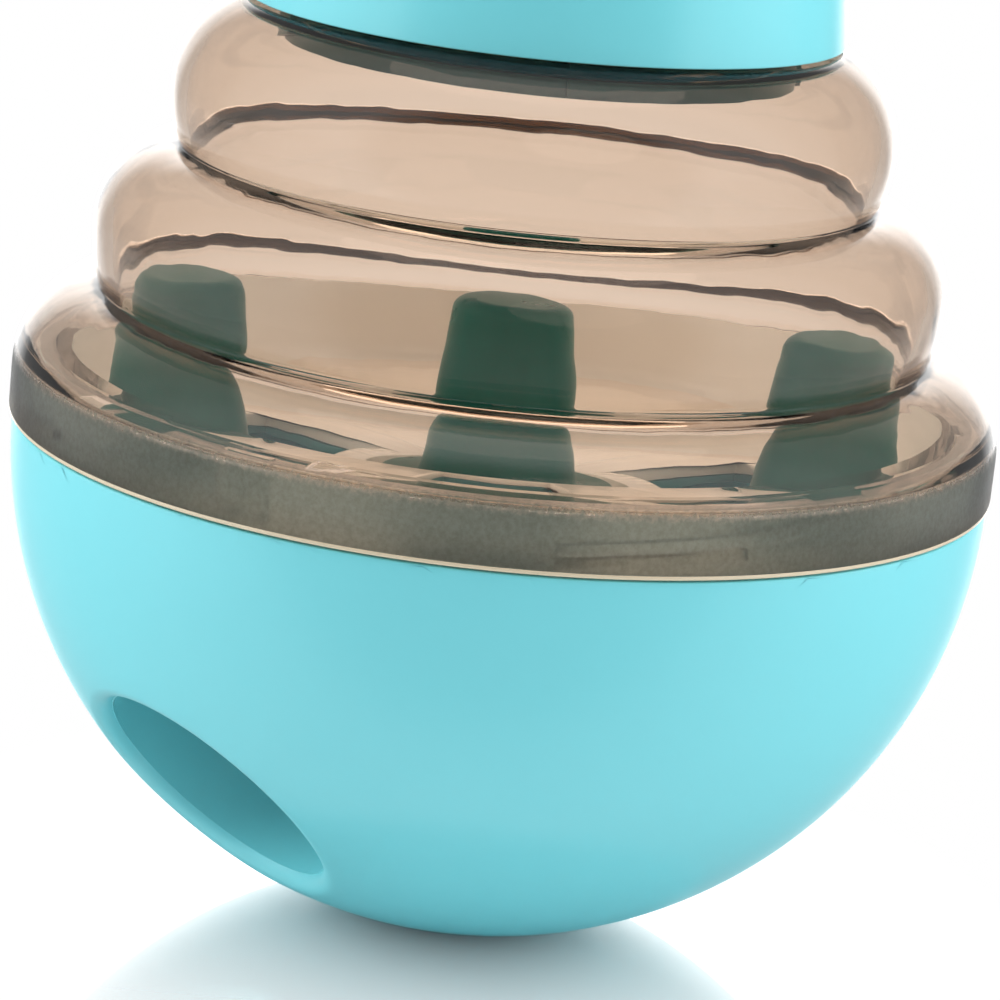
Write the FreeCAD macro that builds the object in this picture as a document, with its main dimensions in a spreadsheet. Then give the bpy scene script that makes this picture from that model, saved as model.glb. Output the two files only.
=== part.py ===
import FreeCAD, Part
import math
import os
import Sketcher
from FreeCAD import Placement, Rotation, Vector

# Treat tumbler ball. Millimetres, +Z up, the front of the ball towards -Y.
# The origin is the middle of the small flat foot that the ball stands on.
# From the floor up: a weighted bowl with a side outlet and a sloping floor, a
# divider tray with posts and a shutter, a ribbed see-through shell that screws
# on the bowl, and a cap that screws in the shell's neck.

os.makedirs("parts", exist_ok=True)
doc = FreeCAD.newDocument("treat_tumbler_ball")

SIZES = {
    # Clearances: pieces that move on each other, pieces fixed to each other, a shaft in its bore
    "running_gap": 0.3,
    "seat_gap": 0.05,
    "shaft_gap": 0.08,
    # Bowl: a hollow ball cut off just over its middle
    "bowl_radius": 57.0,
    "bowl_wall": 2.4,
    "foot_radius": 9.0,
    "seam_rise": 0.9,
    # Outlet: a round hole in the bowl, square to the ball, with a spout inside
    "outlet_radius": 15.2,
    "outlet_heading": 224.5,
    "outlet_dip": 42.5,
    "outlet_lip": 2.0,
    "spout_wall": 2.0,
    "bore_start": 20.0,
    "bore_length": 50.0,
    # Collar ring, welded in the bowl's mouth, with the thread that the shell screws on
    "collar_inset": 0.6,
    "collar_wall": 1.8,
    "key_count": 3,
    "key_width": 6.0,
    "key_depth": 1.0,
    "key_reach": 6.0,
    # Four-start threads: the turn of one start, its rise in a full turn and its ribs
    "thread_starts": 4,
    "thread_lead": 24.0,
    "thread_depth": 1.0,
    "thread_root": 0.3,
    "rib_span": 45.0,
    "rib_thickness": 1.2,
    "lug_rise": 0.1,
    "lug_thickness": 1.3,
    "lug_span": 21.7,
    "lug_heading": 288.3,
    # Ribbed shell: three rounded tiers, each set back from the one under it
    "skirt_wall": 2.1,
    "shell_wall": 2.0,
    "lower_tier_height": 15.7,
    "lower_wall_height": 5.1,
    "lower_step": 8.1,
    "middle_tier_height": 16.8,
    "middle_wall_height": 6.9,
    "middle_tuck": 0.9,
    "middle_step": 7.6,
    "upper_tier_height": 17.5,
    "upper_wall_height": 6.1,
    "upper_tuck": 1.3,
    "upper_step": 7.2,
    "crease_depth": 2.7,
    "crease_drop": 1.95,
    "bead_height": 0.5,
    "bead_depth": 0.8,
    "flange_headroom": 0.4,
    "ceiling_inset": 0.5,
    # Neck of the shell, inside the cap
    "neck_wall": 1.6,
    "neck_height": 5.1,
    "neck_clearance": 0.9,
    "neck_rib_thickness": 1.4,
    # Cap: a tapered cup with a domed top, its liner and its seal
    "cap_overhang": 0.1,
    "cap_wall": 1.9,
    "cap_side_height": 14.8,
    "cap_taper": 1.6,
    "cap_corner_in": 6.5,
    "cap_corner_rise": 7.6,
    "cap_dome_rise": 2.1,
    "cap_corner_thinning": 0.3,
    "liner_step": 0.75,
    "liner_wall": 1.5,
    "liner_top": 1.6,
    "liner_reach": 4.5,
    "cap_lug_rise": 0.2,
    "cap_lug_height": 2.6,
    "cap_lug_span": 14.3,
    "cap_lug_heading": 283.3,
    "seal_thickness": 1.8,
    # Divider tray, hung by its flange on the collar ring
    "tray_drop": 3.0,
    "tray_thickness": 2.4,
    "tray_wall": 1.6,
    "tray_fillet": 3.0,
    "flange_thickness": 1.2,
    "recess_radius": 16.0,
    "recess_depth": 1.2,
    "slot_count": 3,
    "slot_inner": 20.0,
    "slot_rim": 3.3,
    "slot_width": 36.0,
    "slot_heading": 30.0,
    # Adjusting knob in the middle of the tray, and the shutter that it turns
    "knob_flange_radius": 13.7,
    "knob_flange_thickness": 1.4,
    "knob_base_radius": 9.2,
    "knob_top_radius": 7.1,
    "knob_height": 20.8,
    "knob_rounding": 2.0,
    "notch_width": 3.0,
    "notch_depth": 1.5,
    "stem_radius": 5.0,
    "drive_width": 6.0,
    "drive_short": 0.1,
    "shutter_thickness": 1.5,
    "shutter_margin": 2.4,
    # Side posts, pressed in the tray
    "post_shell_gap": 1.3,
    "post_lean": 10.0,
    "post_flange_radius": 11.0,
    "post_flange_thickness": 1.4,
    "post_seat_depth": 0.8,
    "post_base_radius": 9.0,
    "post_top_radius": 6.4,
    "post_height": 20.5,
    "post_rounding": 2.0,
    "spigot_radius": 3.5,
    # Chute floor, a shallow funnel under the shutter, clear of the weight's screw
    "floor_headroom": 4.3,
    "floor_fall": 14.0,
    "floor_thickness": 2.0,
    "floor_flat_radius": 10.0,
    "floor_screw_count": 3,
    "floor_screw_inset": 9.92,
    "floor_screw_heading": 44.5,
    "floor_boss_radius": 3.5,
    "floor_pad_radius": 4.2,
    "floor_pad_proud": 0.3,
    # Counterweight in the bottom of the bowl, on a foam pad
    "weight_radius": 24.0,
    "weight_height": 11.6,
    "weight_boss_radius": 3.8,
    "weight_bore_gap": 0.2,
    "weight_clearance": 0.5,
    "weight_pad_radius": 18.0,
    "weight_pad_thickness": 1.0,
    # Screws and washers
    "screw_radius": 1.5,
    "screw_head_radius": 2.8,
    "screw_head_height": 1.9,
    "screw_dome": 0.5,
    "screw_recess_radius": 1.3,
    "screw_recess_depth": 1.0,
    "screw_length": 9.0,
    "weight_screw_radius": 2.0,
    "weight_screw_head_radius": 3.8,
    "weight_screw_length": 8.0,
    "washer_thickness": 0.8,
    "shutter_washer_radius": 5.0,
    "weight_washer_radius": 6.5,
}

# Places worked out from the driving sizes, heights over the foot and radii from the upright axis.
PLACES = {
    # Bowl
    "centre_z": "sqrt(sizes.bowl_radius^2 - sizes.foot_radius^2)",
    "bowl_inner": "sizes.bowl_radius - sizes.bowl_wall",
    "bowl_inside_z": "centre_z - bowl_inner",
    "seam_z": "centre_z + sizes.seam_rise",
    "ledge_z": "seam_z - sizes.running_gap",
    "ledge_outer": "sqrt(sizes.bowl_radius^2 - (ledge_z - centre_z)^2)",
    "ledge_inner": "sqrt(bowl_inner^2 - (ledge_z - centre_z)^2)",
    "spout_outer": "sizes.outlet_radius + sizes.spout_wall",
    # Collar ring and lower thread
    "collar_outer": "bowl_inner - sizes.collar_inset",
    "collar_inner": "collar_outer - sizes.collar_wall",
    "collar_foot_z": "centre_z - sqrt(bowl_inner^2 - collar_outer^2) + sizes.seat_gap",
    "lug_foot_z": "seam_z + sizes.lug_rise",
    "lug_top_z": "lug_foot_z + sizes.lug_thickness",
    "lug_start": "sizes.lug_heading - sizes.lug_span / 2",
    "rib_foot_z": "lug_top_z + sizes.running_gap",
    "rib_crest_z": "rib_foot_z + sizes.rib_thickness",
    "rib_climb": "sizes.thread_lead * sizes.rib_span / 360",
    "lug_climb": "sizes.thread_lead * sizes.lug_span / 360",
    "rib_root": "collar_outer - sizes.thread_root",
    "rib_outer": "collar_outer + sizes.thread_depth",
    "skirt_inner": "rib_outer + sizes.running_gap",
    "skirt_outer": "skirt_inner + sizes.skirt_wall",
    "lug_root": "skirt_inner + sizes.thread_root",
    "lug_inner": "skirt_inner - sizes.thread_depth",
    "bead_foot_z": "rib_crest_z + rib_climb + sizes.running_gap",
    "bead_top_z": "bead_foot_z + sizes.bead_height",
    "bead_inner": "skirt_inner - sizes.bead_depth",
    "flange_foot_z": "bead_top_z + sizes.running_gap",
    "flange_top_z": "flange_foot_z + sizes.flange_thickness",
    "flange_outer": "skirt_inner - sizes.running_gap",
    "collar_top_z": "flange_foot_z - sizes.running_gap",
    "key_outer": "collar_inner - sizes.running_gap + sizes.key_depth",
    "key_foot_z": "collar_top_z - sizes.key_reach",
    "keyway_outer": "key_outer + sizes.running_gap",
    "keyway_foot_z": "key_foot_z - sizes.running_gap",
    "keyway_width": "sizes.key_width + 2 * sizes.running_gap",
    "keyway_inner": "collar_inner - sizes.collar_wall",
    # Ribbed shell
    "lower_wall_top_z": "seam_z + sizes.lower_wall_height",
    "lower_crease_z": "seam_z + sizes.lower_tier_height",
    "middle_radius": "skirt_outer - sizes.lower_step",
    "lower_crease": "middle_radius - sizes.middle_tuck",
    "middle_wall_top_z": "lower_crease_z + sizes.middle_wall_height",
    "upper_crease_z": "lower_crease_z + sizes.middle_tier_height",
    "upper_radius": "middle_radius - sizes.middle_step",
    "upper_crease": "upper_radius - sizes.upper_tuck",
    "upper_wall_top_z": "upper_crease_z + sizes.upper_wall_height",
    "shoulder_z": "upper_crease_z + sizes.upper_tier_height",
    "shoulder_radius": "upper_radius - sizes.upper_step",
    "skirt_top_z": "flange_top_z + sizes.flange_headroom",
    "lower_crease_in": "lower_crease - sizes.crease_depth",
    "lower_crease_in_z": "lower_crease_z - sizes.crease_drop",
    "middle_inner": "middle_radius - sizes.shell_wall",
    "upper_crease_in": "upper_crease - sizes.crease_depth",
    "upper_crease_in_z": "upper_crease_z - sizes.crease_drop",
    "upper_inner": "upper_radius - sizes.shell_wall",
    "ceiling_z": "shoulder_z - sizes.shell_wall",
    "ceiling_outer": "shoulder_radius - sizes.ceiling_inset",
    # Neck, cap, liner and seal
    "cap_radius": "shoulder_radius + sizes.cap_overhang",
    "cap_inner": "cap_radius - sizes.cap_wall",
    "neck_outer": "cap_inner - sizes.neck_clearance",
    "neck_inner": "neck_outer - sizes.neck_wall",
    "neck_top_z": "shoulder_z + sizes.neck_height",
    "cap_foot_z": "shoulder_z + sizes.running_gap",
    "cap_side_z": "cap_foot_z + sizes.cap_side_height",
    "cap_side_radius": "cap_radius - sizes.cap_taper",
    "cap_crown_radius": "cap_side_radius - sizes.cap_corner_in",
    "cap_crown_z": "cap_side_z + sizes.cap_corner_rise",
    "cap_top_z": "cap_crown_z + sizes.cap_dome_rise",
    "seal_foot_z": "neck_top_z + sizes.running_gap",
    "seal_top_z": "seal_foot_z + sizes.seal_thickness",
    "liner_flange_z": "seal_top_z + sizes.running_gap",
    "liner_top_z": "liner_flange_z + sizes.liner_top",
    "cap_slope": "sizes.cap_taper / sizes.cap_side_height",
    "cap_seat_radius": "cap_inner - cap_slope * (liner_top_z - cap_foot_z)",
    "cap_bore": "cap_seat_radius - sizes.liner_step",
    "cap_crown_inner": "cap_crown_radius - sizes.cap_corner_thinning",
    "cap_crown_inner_z": "cap_crown_z - sizes.cap_wall",
    "cap_ceiling_z": "cap_top_z - sizes.cap_wall",
    "liner_flange": "cap_seat_radius - 3 * sizes.seat_gap",
    "liner_outer": "neck_inner - sizes.thread_depth - sizes.running_gap",
    "liner_inner": "liner_outer - sizes.liner_wall",
    "liner_foot_z": "shoulder_z - sizes.liner_reach",
    "cap_lug_foot_z": "liner_foot_z + sizes.cap_lug_rise",
    "cap_lug_top_z": "cap_lug_foot_z + sizes.cap_lug_height",
    "cap_lug_start": "sizes.cap_lug_heading - sizes.cap_lug_span / 2",
    "cap_lug_root": "liner_outer - sizes.thread_root",
    "cap_lug_outer": "liner_outer + sizes.thread_depth",
    "cap_lug_climb": "sizes.thread_lead * sizes.cap_lug_span / 360",
    "neck_rib_foot_z": "cap_lug_top_z + sizes.running_gap",
    "neck_rib_top_z": "neck_rib_foot_z + sizes.neck_rib_thickness",
    "neck_rib_root": "neck_inner + sizes.thread_root",
    "neck_rib_inner": "neck_inner - sizes.thread_depth",
    "seal_inner": "liner_outer + sizes.running_gap",
    "seal_outer": "neck_outer - sizes.running_gap",
    # Divider tray
    "tray_outer": "collar_inner - sizes.running_gap",
    "tray_inner": "tray_outer - sizes.tray_wall",
    "key_root": "tray_outer - sizes.tray_wall / 2",
    "tray_top_z": "centre_z - sizes.tray_drop",
    "tray_foot_z": "tray_top_z - sizes.tray_thickness",
    "tray_fillet_z": "tray_top_z + sizes.tray_fillet",
    "tray_fillet_radius": "tray_inner - sizes.tray_fillet",
    "recess_z": "tray_top_z - sizes.recess_depth",
    "slot_outer": "tray_fillet_radius - sizes.slot_rim",
    "tray_bore": "sizes.stem_radius + sizes.shaft_gap",
    # Adjusting knob and shutter
    "knob_flange_foot_z": "recess_z + sizes.running_gap",
    "knob_flange_top_z": "knob_flange_foot_z + sizes.knob_flange_thickness",
    "knob_top_z": "knob_flange_top_z + sizes.knob_height",
    "knob_shoulder_z": "knob_top_z - sizes.knob_rounding",
    "knob_crown_radius": "sizes.knob_top_radius - sizes.knob_rounding",
    "notch_inner": "sizes.knob_flange_radius - sizes.notch_depth",
    "notch_outer": "sizes.knob_flange_radius + sizes.notch_depth",
    "shutter_top_z": "tray_foot_z - sizes.running_gap",
    "shutter_foot_z": "shutter_top_z - sizes.shutter_thickness",
    "shutter_radius": "slot_outer + sizes.shutter_margin",
    "drive_foot_z": "shutter_foot_z + sizes.drive_short",
    "drive_hole": "sizes.drive_width + 2 * sizes.seat_gap",
    "shutter_washer_z": "shutter_foot_z - sizes.washer_thickness",
    "knob_pilot_z": "shutter_washer_z + sizes.screw_length + sizes.running_gap",
    # Side posts
    "post_flange_foot_z": "tray_top_z - sizes.post_seat_depth",
    "post_flange_top_z": "post_flange_foot_z + sizes.post_flange_thickness",
    "post_top_z": "post_flange_top_z + sizes.post_height",
    "post_shoulder_z": "post_top_z - sizes.post_rounding",
    "post_crown_radius": "sizes.post_top_radius - sizes.post_rounding",
    "post_seat_radius": "sizes.post_flange_radius + sizes.seat_gap",
    "spigot_bore": "sizes.spigot_radius + sizes.seat_gap",
    "post_circle": "lower_crease_in - sizes.post_top_radius - sizes.post_shell_gap",
    "post_x": "post_circle * cos(sizes.post_lean)",
    "post_y": "-post_circle * sin(sizes.post_lean)",
    # Counterweight
    "weight_top_z": "bowl_inside_z + sizes.weight_height",
    "weight_boss_top_z": "weight_top_z - sizes.running_gap",
    "weight_bore": "sizes.weight_boss_radius + sizes.weight_bore_gap",
    "weight_pad_outer": "bowl_inner - sizes.seat_gap",
    "weight_pad_inner": "weight_pad_outer - sizes.weight_pad_thickness",
    "weight_ball": "weight_pad_inner - sizes.seat_gap",
    "weight_rim_z": "centre_z - sqrt(weight_ball^2 - sizes.weight_radius^2)",
    "weight_bore_z": "centre_z - sqrt(weight_ball^2 - weight_bore^2)",
    "pad_rim_foot_z": "centre_z - sqrt(weight_pad_outer^2 - sizes.weight_pad_radius^2)",
    "pad_rim_top_z": "centre_z - sqrt(weight_pad_inner^2 - sizes.weight_pad_radius^2)",
    "pad_bore_foot_z": "centre_z - sqrt(weight_pad_outer^2 - weight_bore^2)",
    "pad_bore_top_z": "centre_z - sqrt(weight_pad_inner^2 - weight_bore^2)",
    "weight_clear_radius": "spout_outer + sizes.weight_clearance",
    "weight_washer_top_z": "weight_top_z + sizes.washer_thickness",
    "weight_screw_hole": "sizes.weight_screw_radius + sizes.seat_gap",
    # Chute floor and its screws
    "floor_foot_z": "weight_washer_top_z + sizes.screw_head_height + sizes.floor_headroom",
    "floor_centre_z": "floor_foot_z + sizes.floor_thickness",
    "floor_rim_z": "floor_centre_z + sizes.floor_fall",
    "floor_rim_foot_z": "floor_rim_z - sizes.floor_thickness",
    "floor_outer": "sqrt(bowl_inner^2 - (centre_z - floor_rim_foot_z)^2) - sizes.seat_gap",
    "floor_slope": "sizes.floor_fall / (floor_outer - sizes.floor_flat_radius)",
    "floor_screw_circle": "floor_outer - sizes.floor_screw_inset",
    "pad_near": "floor_screw_circle - sizes.floor_pad_radius - sizes.floor_flat_radius",
    "pad_far": "floor_screw_circle + sizes.floor_pad_radius - sizes.floor_flat_radius",
    "pad_foot_z": "floor_foot_z + floor_slope * pad_near - sizes.floor_pad_proud",
    "pad_top_z": "floor_centre_z + floor_slope * pad_far + sizes.floor_pad_proud",
    "screw_hole": "sizes.screw_radius + sizes.seat_gap",
}


def fill_sheet(label, cells, prefix):
    sheet = doc.addObject("Spreadsheet::Sheet", label)
    for row, (name, content) in enumerate(cells.items(), start=1):
        sheet.set(f"A{row}", name)
        sheet.set(f"B{row}", f"{prefix}{content}")
        sheet.setAlias(f"B{row}", name)
    return sheet


sizes = fill_sheet("sizes", SIZES, "")
places = fill_sheet("places", PLACES, "=")
doc.recompute()


def ref(name):
    """The full name of a driving size or of a worked-out place, as an expression writes it."""
    return f"sizes.{name}" if name in SIZES else f"places.{name}"


def value(name):
    """The number behind a driving size or a worked-out place."""
    return float(getattr(sizes if name in SIZES else places, name))


def origin_part(body, role):
    return next(part for part in body.Origin.OriginFeatures if part.Role == role)


def new_body(label):
    body = doc.addObject("PartDesign::Body", label)
    body.Label = label
    return body


def new_sketch(body, label, role, height=None, turn=None):
    """A sketch on an origin plane of its own body, raised to a height or turned about the upright axis."""
    sketch = body.newObject("Sketcher::SketchObject", label)
    sketch.AttachmentSupport = (origin_part(body, role), [""])
    sketch.MapMode = "FlatFace"
    if height is not None:
        sketch.AttachmentOffset = Placement(Vector(0, 0, value(height)), Rotation())
        sketch.setExpression("AttachmentOffset.Base.z", ref(height))
    if turn is not None:
        sketch.AttachmentOffset = Placement(Vector(), Rotation(Vector(0, 1, 0), value(turn)))
        sketch.setExpression("AttachmentOffset.Rotation.Angle", ref(turn))
    return sketch


def turn_sketch(sketch, heading):
    """Turns a flat sketch about the upright axis to a heading."""
    lifted = sketch.AttachmentOffset.Base
    sketch.AttachmentOffset = Placement(lifted, Rotation(Vector(0, 0, 1), value(heading)))
    sketch.setExpression("AttachmentOffset.Rotation.Angle", ref(heading))


def draw_rectangle(sketch, left, right, half_width):
    """A rectangle across the sketch's X axis, with its sides held level and upright."""
    corners = [Vector(left, -half_width, 0), Vector(right, -half_width, 0),
               Vector(right, half_width, 0), Vector(left, half_width, 0)]
    first = sketch.GeometryCount
    for start, end in zip(corners, corners[1:] + corners[:1]):
        sketch.addGeometry(Part.LineSegment(start, end), False)
    for edge in range(4):
        sketch.addConstraint(Sketcher.Constraint("Coincident", first + edge, 2, first + (edge + 1) % 4, 1))
    for edge in (first, first + 2):
        sketch.addConstraint(Sketcher.Constraint("Horizontal", edge))
    sketch.addConstraint(Sketcher.Constraint("Vertical", first + 3))
    sketch.addConstraint(Sketcher.Constraint("Symmetric", first + 1, 1, first + 1, 2, -1))
    return first


def hold(sketch, kind, geometry, point, name, sign=1):
    """Ties one coordinate of a sketch point to a named size or place."""
    amount = sign * value(name)
    index = sketch.addConstraint(Sketcher.Constraint(kind, -1, 1, geometry, point, amount))
    sketch.setExpression(f"Constraints[{index}]", ref(name) if sign > 0 else f"-{ref(name)}")


def arc_between(start, end, centre):
    """The shorter arc from start to end, and which of its own ends is the start."""
    start_angle = math.atan2(start.y - centre.y, start.x - centre.x)
    end_angle = math.atan2(end.y - centre.y, end.x - centre.x)
    circle = Part.Circle(centre, Vector(0, 0, 1), (start - centre).Length)
    if (end_angle - start_angle) % (2 * math.pi) < math.pi:
        return Part.ArcOfCircle(circle, start_angle, end_angle), 1, 2
    return Part.ArcOfCircle(circle, end_angle, start_angle), 2, 1


def arc_centre(start, end, level):
    """The centre at a known height, or on the upright axis, of an arc through two points."""
    if level == "axis":
        rise = (end.x**2 + end.y**2 - start.x**2 - start.y**2) / (2 * (end.y - start.y))
        return Vector(0, rise, 0)
    height = value(level)
    across = (end.x**2 - start.x**2 + (end.y - height)**2 - (start.y - height)**2)
    return Vector(across / (2 * (end.x - start.x)), height, 0)


def draw_outline(sketch, corners):
    """A closed outline. Each corner is a radius, a height and the run to the next corner: None for a
    straight run, 'axis' for an arc centred on the upright axis, or the height of the arc's centre."""
    points = []
    for across, up, _ in corners:
        points.append(Vector(0 if across == "axis" else value(across), 0 if up == "base" else value(up), 0))
    ends = []
    for index, (_, _, level) in enumerate(corners):
        start = points[index]
        end = points[(index + 1) % len(points)]
        if level is None:
            ends.append((sketch.addGeometry(Part.LineSegment(start, end), False), 1, 2))
            continue
        arc, first, last = arc_between(start, end, arc_centre(start, end, level))
        ends.append((sketch.addGeometry(arc, False), first, last))
    for index, (across, up, level) in enumerate(corners):
        before, _, last = ends[index - 1]
        geometry, first, _ = ends[index]
        sketch.addConstraint(Sketcher.Constraint("Coincident", before, last, geometry, first))
        if across == "axis":
            sketch.addConstraint(Sketcher.Constraint("PointOnObject", geometry, first, -2))
        else:
            hold(sketch, "DistanceX", geometry, first, across)
        if up == "base":
            sketch.addConstraint(Sketcher.Constraint("PointOnObject", geometry, first, -1))
        else:
            hold(sketch, "DistanceY", geometry, first, up)
        if level == "axis":
            sketch.addConstraint(Sketcher.Constraint("PointOnObject", geometry, 3, -2))
        elif level is not None:
            hold(sketch, "DistanceY", geometry, 3, level)


def revolve(body, label, corners):
    sketch = new_sketch(body, f"{label}_outline", "XZ_Plane")
    draw_outline(sketch, corners)
    turned = body.newObject("PartDesign::Revolution", label)
    turned.Profile = sketch
    turned.ReferenceAxis = (sketch, ["V_Axis"])
    turned.Angle = 360
    doc.recompute()
    return turned


def draw_circle(sketch, radius, across=None, up=None, across_sign=1):
    """A circle at the sketch's origin, or with its centre held at two places."""
    centre = Vector(across_sign * value(across), value(up), 0) if across else Vector()
    geometry = sketch.addGeometry(Part.Circle(centre, Vector(0, 0, 1), value(radius)), False)
    index = sketch.addConstraint(Sketcher.Constraint("Radius", geometry, value(radius)))
    sketch.setExpression(f"Constraints[{index}]", ref(radius))
    if across:
        hold(sketch, "DistanceX", geometry, 3, across, across_sign)
        hold(sketch, "DistanceY", geometry, 3, up)
    else:
        sketch.addConstraint(Sketcher.Constraint("Coincident", geometry, 3, -1, 1))


def draw_block(sketch, near, far, width):
    """A rectangle from one radius to another along the sketch's X axis, half its width each side."""
    edge = draw_rectangle(sketch, value(near), value(far), value(width) / 2)
    index = sketch.addConstraint(Sketcher.Constraint("DistanceY", edge + 1, 1, edge + 1, 2, value(width)))
    sketch.setExpression(f"Constraints[{index}]", ref(width))
    hold(sketch, "DistanceX", edge, 1, near)
    hold(sketch, "DistanceX", edge, 2, far)


def draw_square(sketch, width):
    """A square round the sketch's origin."""
    half = value(width) / 2
    edge = draw_rectangle(sketch, -half, half, half)
    for kind, side in (("DistanceX", edge), ("DistanceY", edge + 1)):
        index = sketch.addConstraint(Sketcher.Constraint(kind, side, 1, side, 2, 2 * half))
        sketch.setExpression(f"Constraints[{index}]", ref(width))
    index = sketch.addConstraint(Sketcher.Constraint("DistanceX", -1, 1, edge, 1, -half))
    sketch.setExpression(f"Constraints[{index}]", f"-{ref(width)} / 2")


def draw_sector(sketch, near, far, width):
    """A ring sector across the sketch's X axis, from one radius to another."""
    half = math.radians(value(width) / 2)
    for radius in (near, far):
        circle = Part.Circle(Vector(), Vector(0, 0, 1), value(radius))
        sketch.addGeometry(Part.ArcOfCircle(circle, -half, half), False)
    for side in (-1, 1):
        ray = Vector(math.cos(half), side * math.sin(half), 0)
        sketch.addGeometry(Part.LineSegment(ray * value(near), ray * value(far)), False)
    for arc, radius in ((0, near), (1, far)):
        sketch.addConstraint(Sketcher.Constraint("Coincident", arc, 3, -1, 1))
        index = sketch.addConstraint(Sketcher.Constraint("Radius", arc, value(radius)))
        sketch.setExpression(f"Constraints[{index}]", ref(radius))
        sketch.addConstraint(Sketcher.Constraint("Coincident", arc, 1, 2, arc + 1))
        sketch.addConstraint(Sketcher.Constraint("Coincident", arc, 2, 3, arc + 1))
    for side, sign in ((2, "-"), (3, "")):
        sketch.addConstraint(Sketcher.Constraint("PointOnObject", -1, 1, side))
        index = sketch.addConstraint(Sketcher.Constraint("Angle", side, -half if sign else half))
        sketch.setExpression(f"Constraints[{index}]", f"{sign}{ref(width)} / 2")


def pad(body, label, sketch, length):
    block = body.newObject("PartDesign::Pad", label)
    block.Profile = sketch
    block.Length = 1
    block.setExpression("Length", length)
    doc.recompute()
    return block


def pocket(body, label, sketch, depth):
    """Cuts straight down from the sketch."""
    hollow = body.newObject("PartDesign::Pocket", label)
    hollow.Profile = sketch
    hollow.Length = 1
    hollow.setExpression("Length", depth)
    doc.recompute()
    return hollow


def repeat(body, label, feature, count):
    pattern = body.newObject("PartDesign::PolarPattern", label)
    pattern.Originals = [feature]
    pattern.Axis = (origin_part(body, "Z_Axis"), [""])
    pattern.Angle = 360
    pattern.Occurrences = int(value(count))
    pattern.setExpression("Occurrences", ref(count))
    body.Tip = pattern
    doc.recompute()
    return pattern


def thread_ribs(body, label, start, near, far, foot, top, climb):
    """Short helical ribs, one to each start of the thread, right-handed and climbing from their start."""
    sketch = new_sketch(body, f"{label}_outline", "XZ_Plane", turn=start)
    draw_outline(sketch, [(near, foot, None), (far, foot, None), (far, top, None), (near, top, None)])
    rib = body.newObject("PartDesign::AdditiveHelix", f"{label}_rib")
    rib.Profile = sketch
    rib.ReferenceAxis = (sketch, ["V_Axis"])
    rib.Mode = "pitch-height-angle"
    rib.Pitch = value("thread_lead")
    rib.setExpression("Pitch", ref("thread_lead"))
    rib.Height = value(climb)
    rib.setExpression("Height", ref(climb))
    rib.Angle = 0
    rib.LeftHanded = False
    rib.Reversed = False
    doc.recompute()
    return repeat(body, f"{label}_ribs", rib, "thread_starts")


def cylinder(label, radius, foot, height):
    """An upright cylinder on the ball's axis. Its foot and height are expressions."""
    solid = doc.addObject("Part::Cylinder", label)
    solid.setExpression("Radius", ref(radius))
    solid.setExpression("Height", height)
    solid.setExpression("Placement.Base.z", foot)
    return solid


def boolean(kind, label, shapes):
    """A fuse of several solids, or the first one with the second taken away or kept in common."""
    result = doc.addObject(f"Part::{kind}", label)
    if kind in ("Cut", "Common"):
        result.Base = shapes[0]
        result.Tool = shapes[1]
    else:
        result.Shapes = shapes
    result.Label = label
    doc.recompute()
    return result


def screw_headings():
    """The headings of the floor's screws, as expressions."""
    step = "360 / sizes.floor_screw_count"
    count = int(value("floor_screw_count"))
    return [f"sizes.floor_screw_heading + {index} * {step}" for index in range(count)]


def place_at_screw(solid, turn, foot):
    """Moves a solid out to one of the floor's screws. Its foot is an expression."""
    solid.setExpression("Placement.Base.x", f"places.floor_screw_circle * cos({turn})")
    solid.setExpression("Placement.Base.y", f"places.floor_screw_circle * sin({turn})")
    solid.setExpression("Placement.Base.z", foot)


# Outlet line: out of the ball's centre, forward, to the left and down.
heading = math.radians(value("outlet_heading"))
dip = math.radians(value("outlet_dip"))
outlet_line = Vector(math.cos(dip) * math.cos(heading), math.cos(dip) * math.sin(heading), -math.sin(dip))
ball_centre = Vector(0, 0, value("centre_z"))


def outlet_cylinder(label, radius):
    """A cylinder along the outlet line, from inside the ball to well outside it."""
    solid = doc.addObject("Part::Cylinder", label)
    solid.setExpression("Radius", ref(radius))
    solid.setExpression("Height", ref("bore_length"))
    start = ball_centre + outlet_line * value("bore_start")
    solid.Placement = Placement(start, Rotation(Vector(0, 0, 1), outlet_line))
    return solid


def floor_underside(label):
    """Everything over the underside of the chute floor, as one upright cone."""
    cone = doc.addObject("Part::Cone", label)
    cone.setExpression("Radius1", "sizes.floor_flat_radius")
    cone.setExpression("Height", "sizes.bowl_radius")
    cone.setExpression("Radius2", "sizes.floor_flat_radius + sizes.bowl_radius / places.floor_slope")
    cone.setExpression("Placement.Base.z", "places.floor_foot_z")
    return cone


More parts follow.
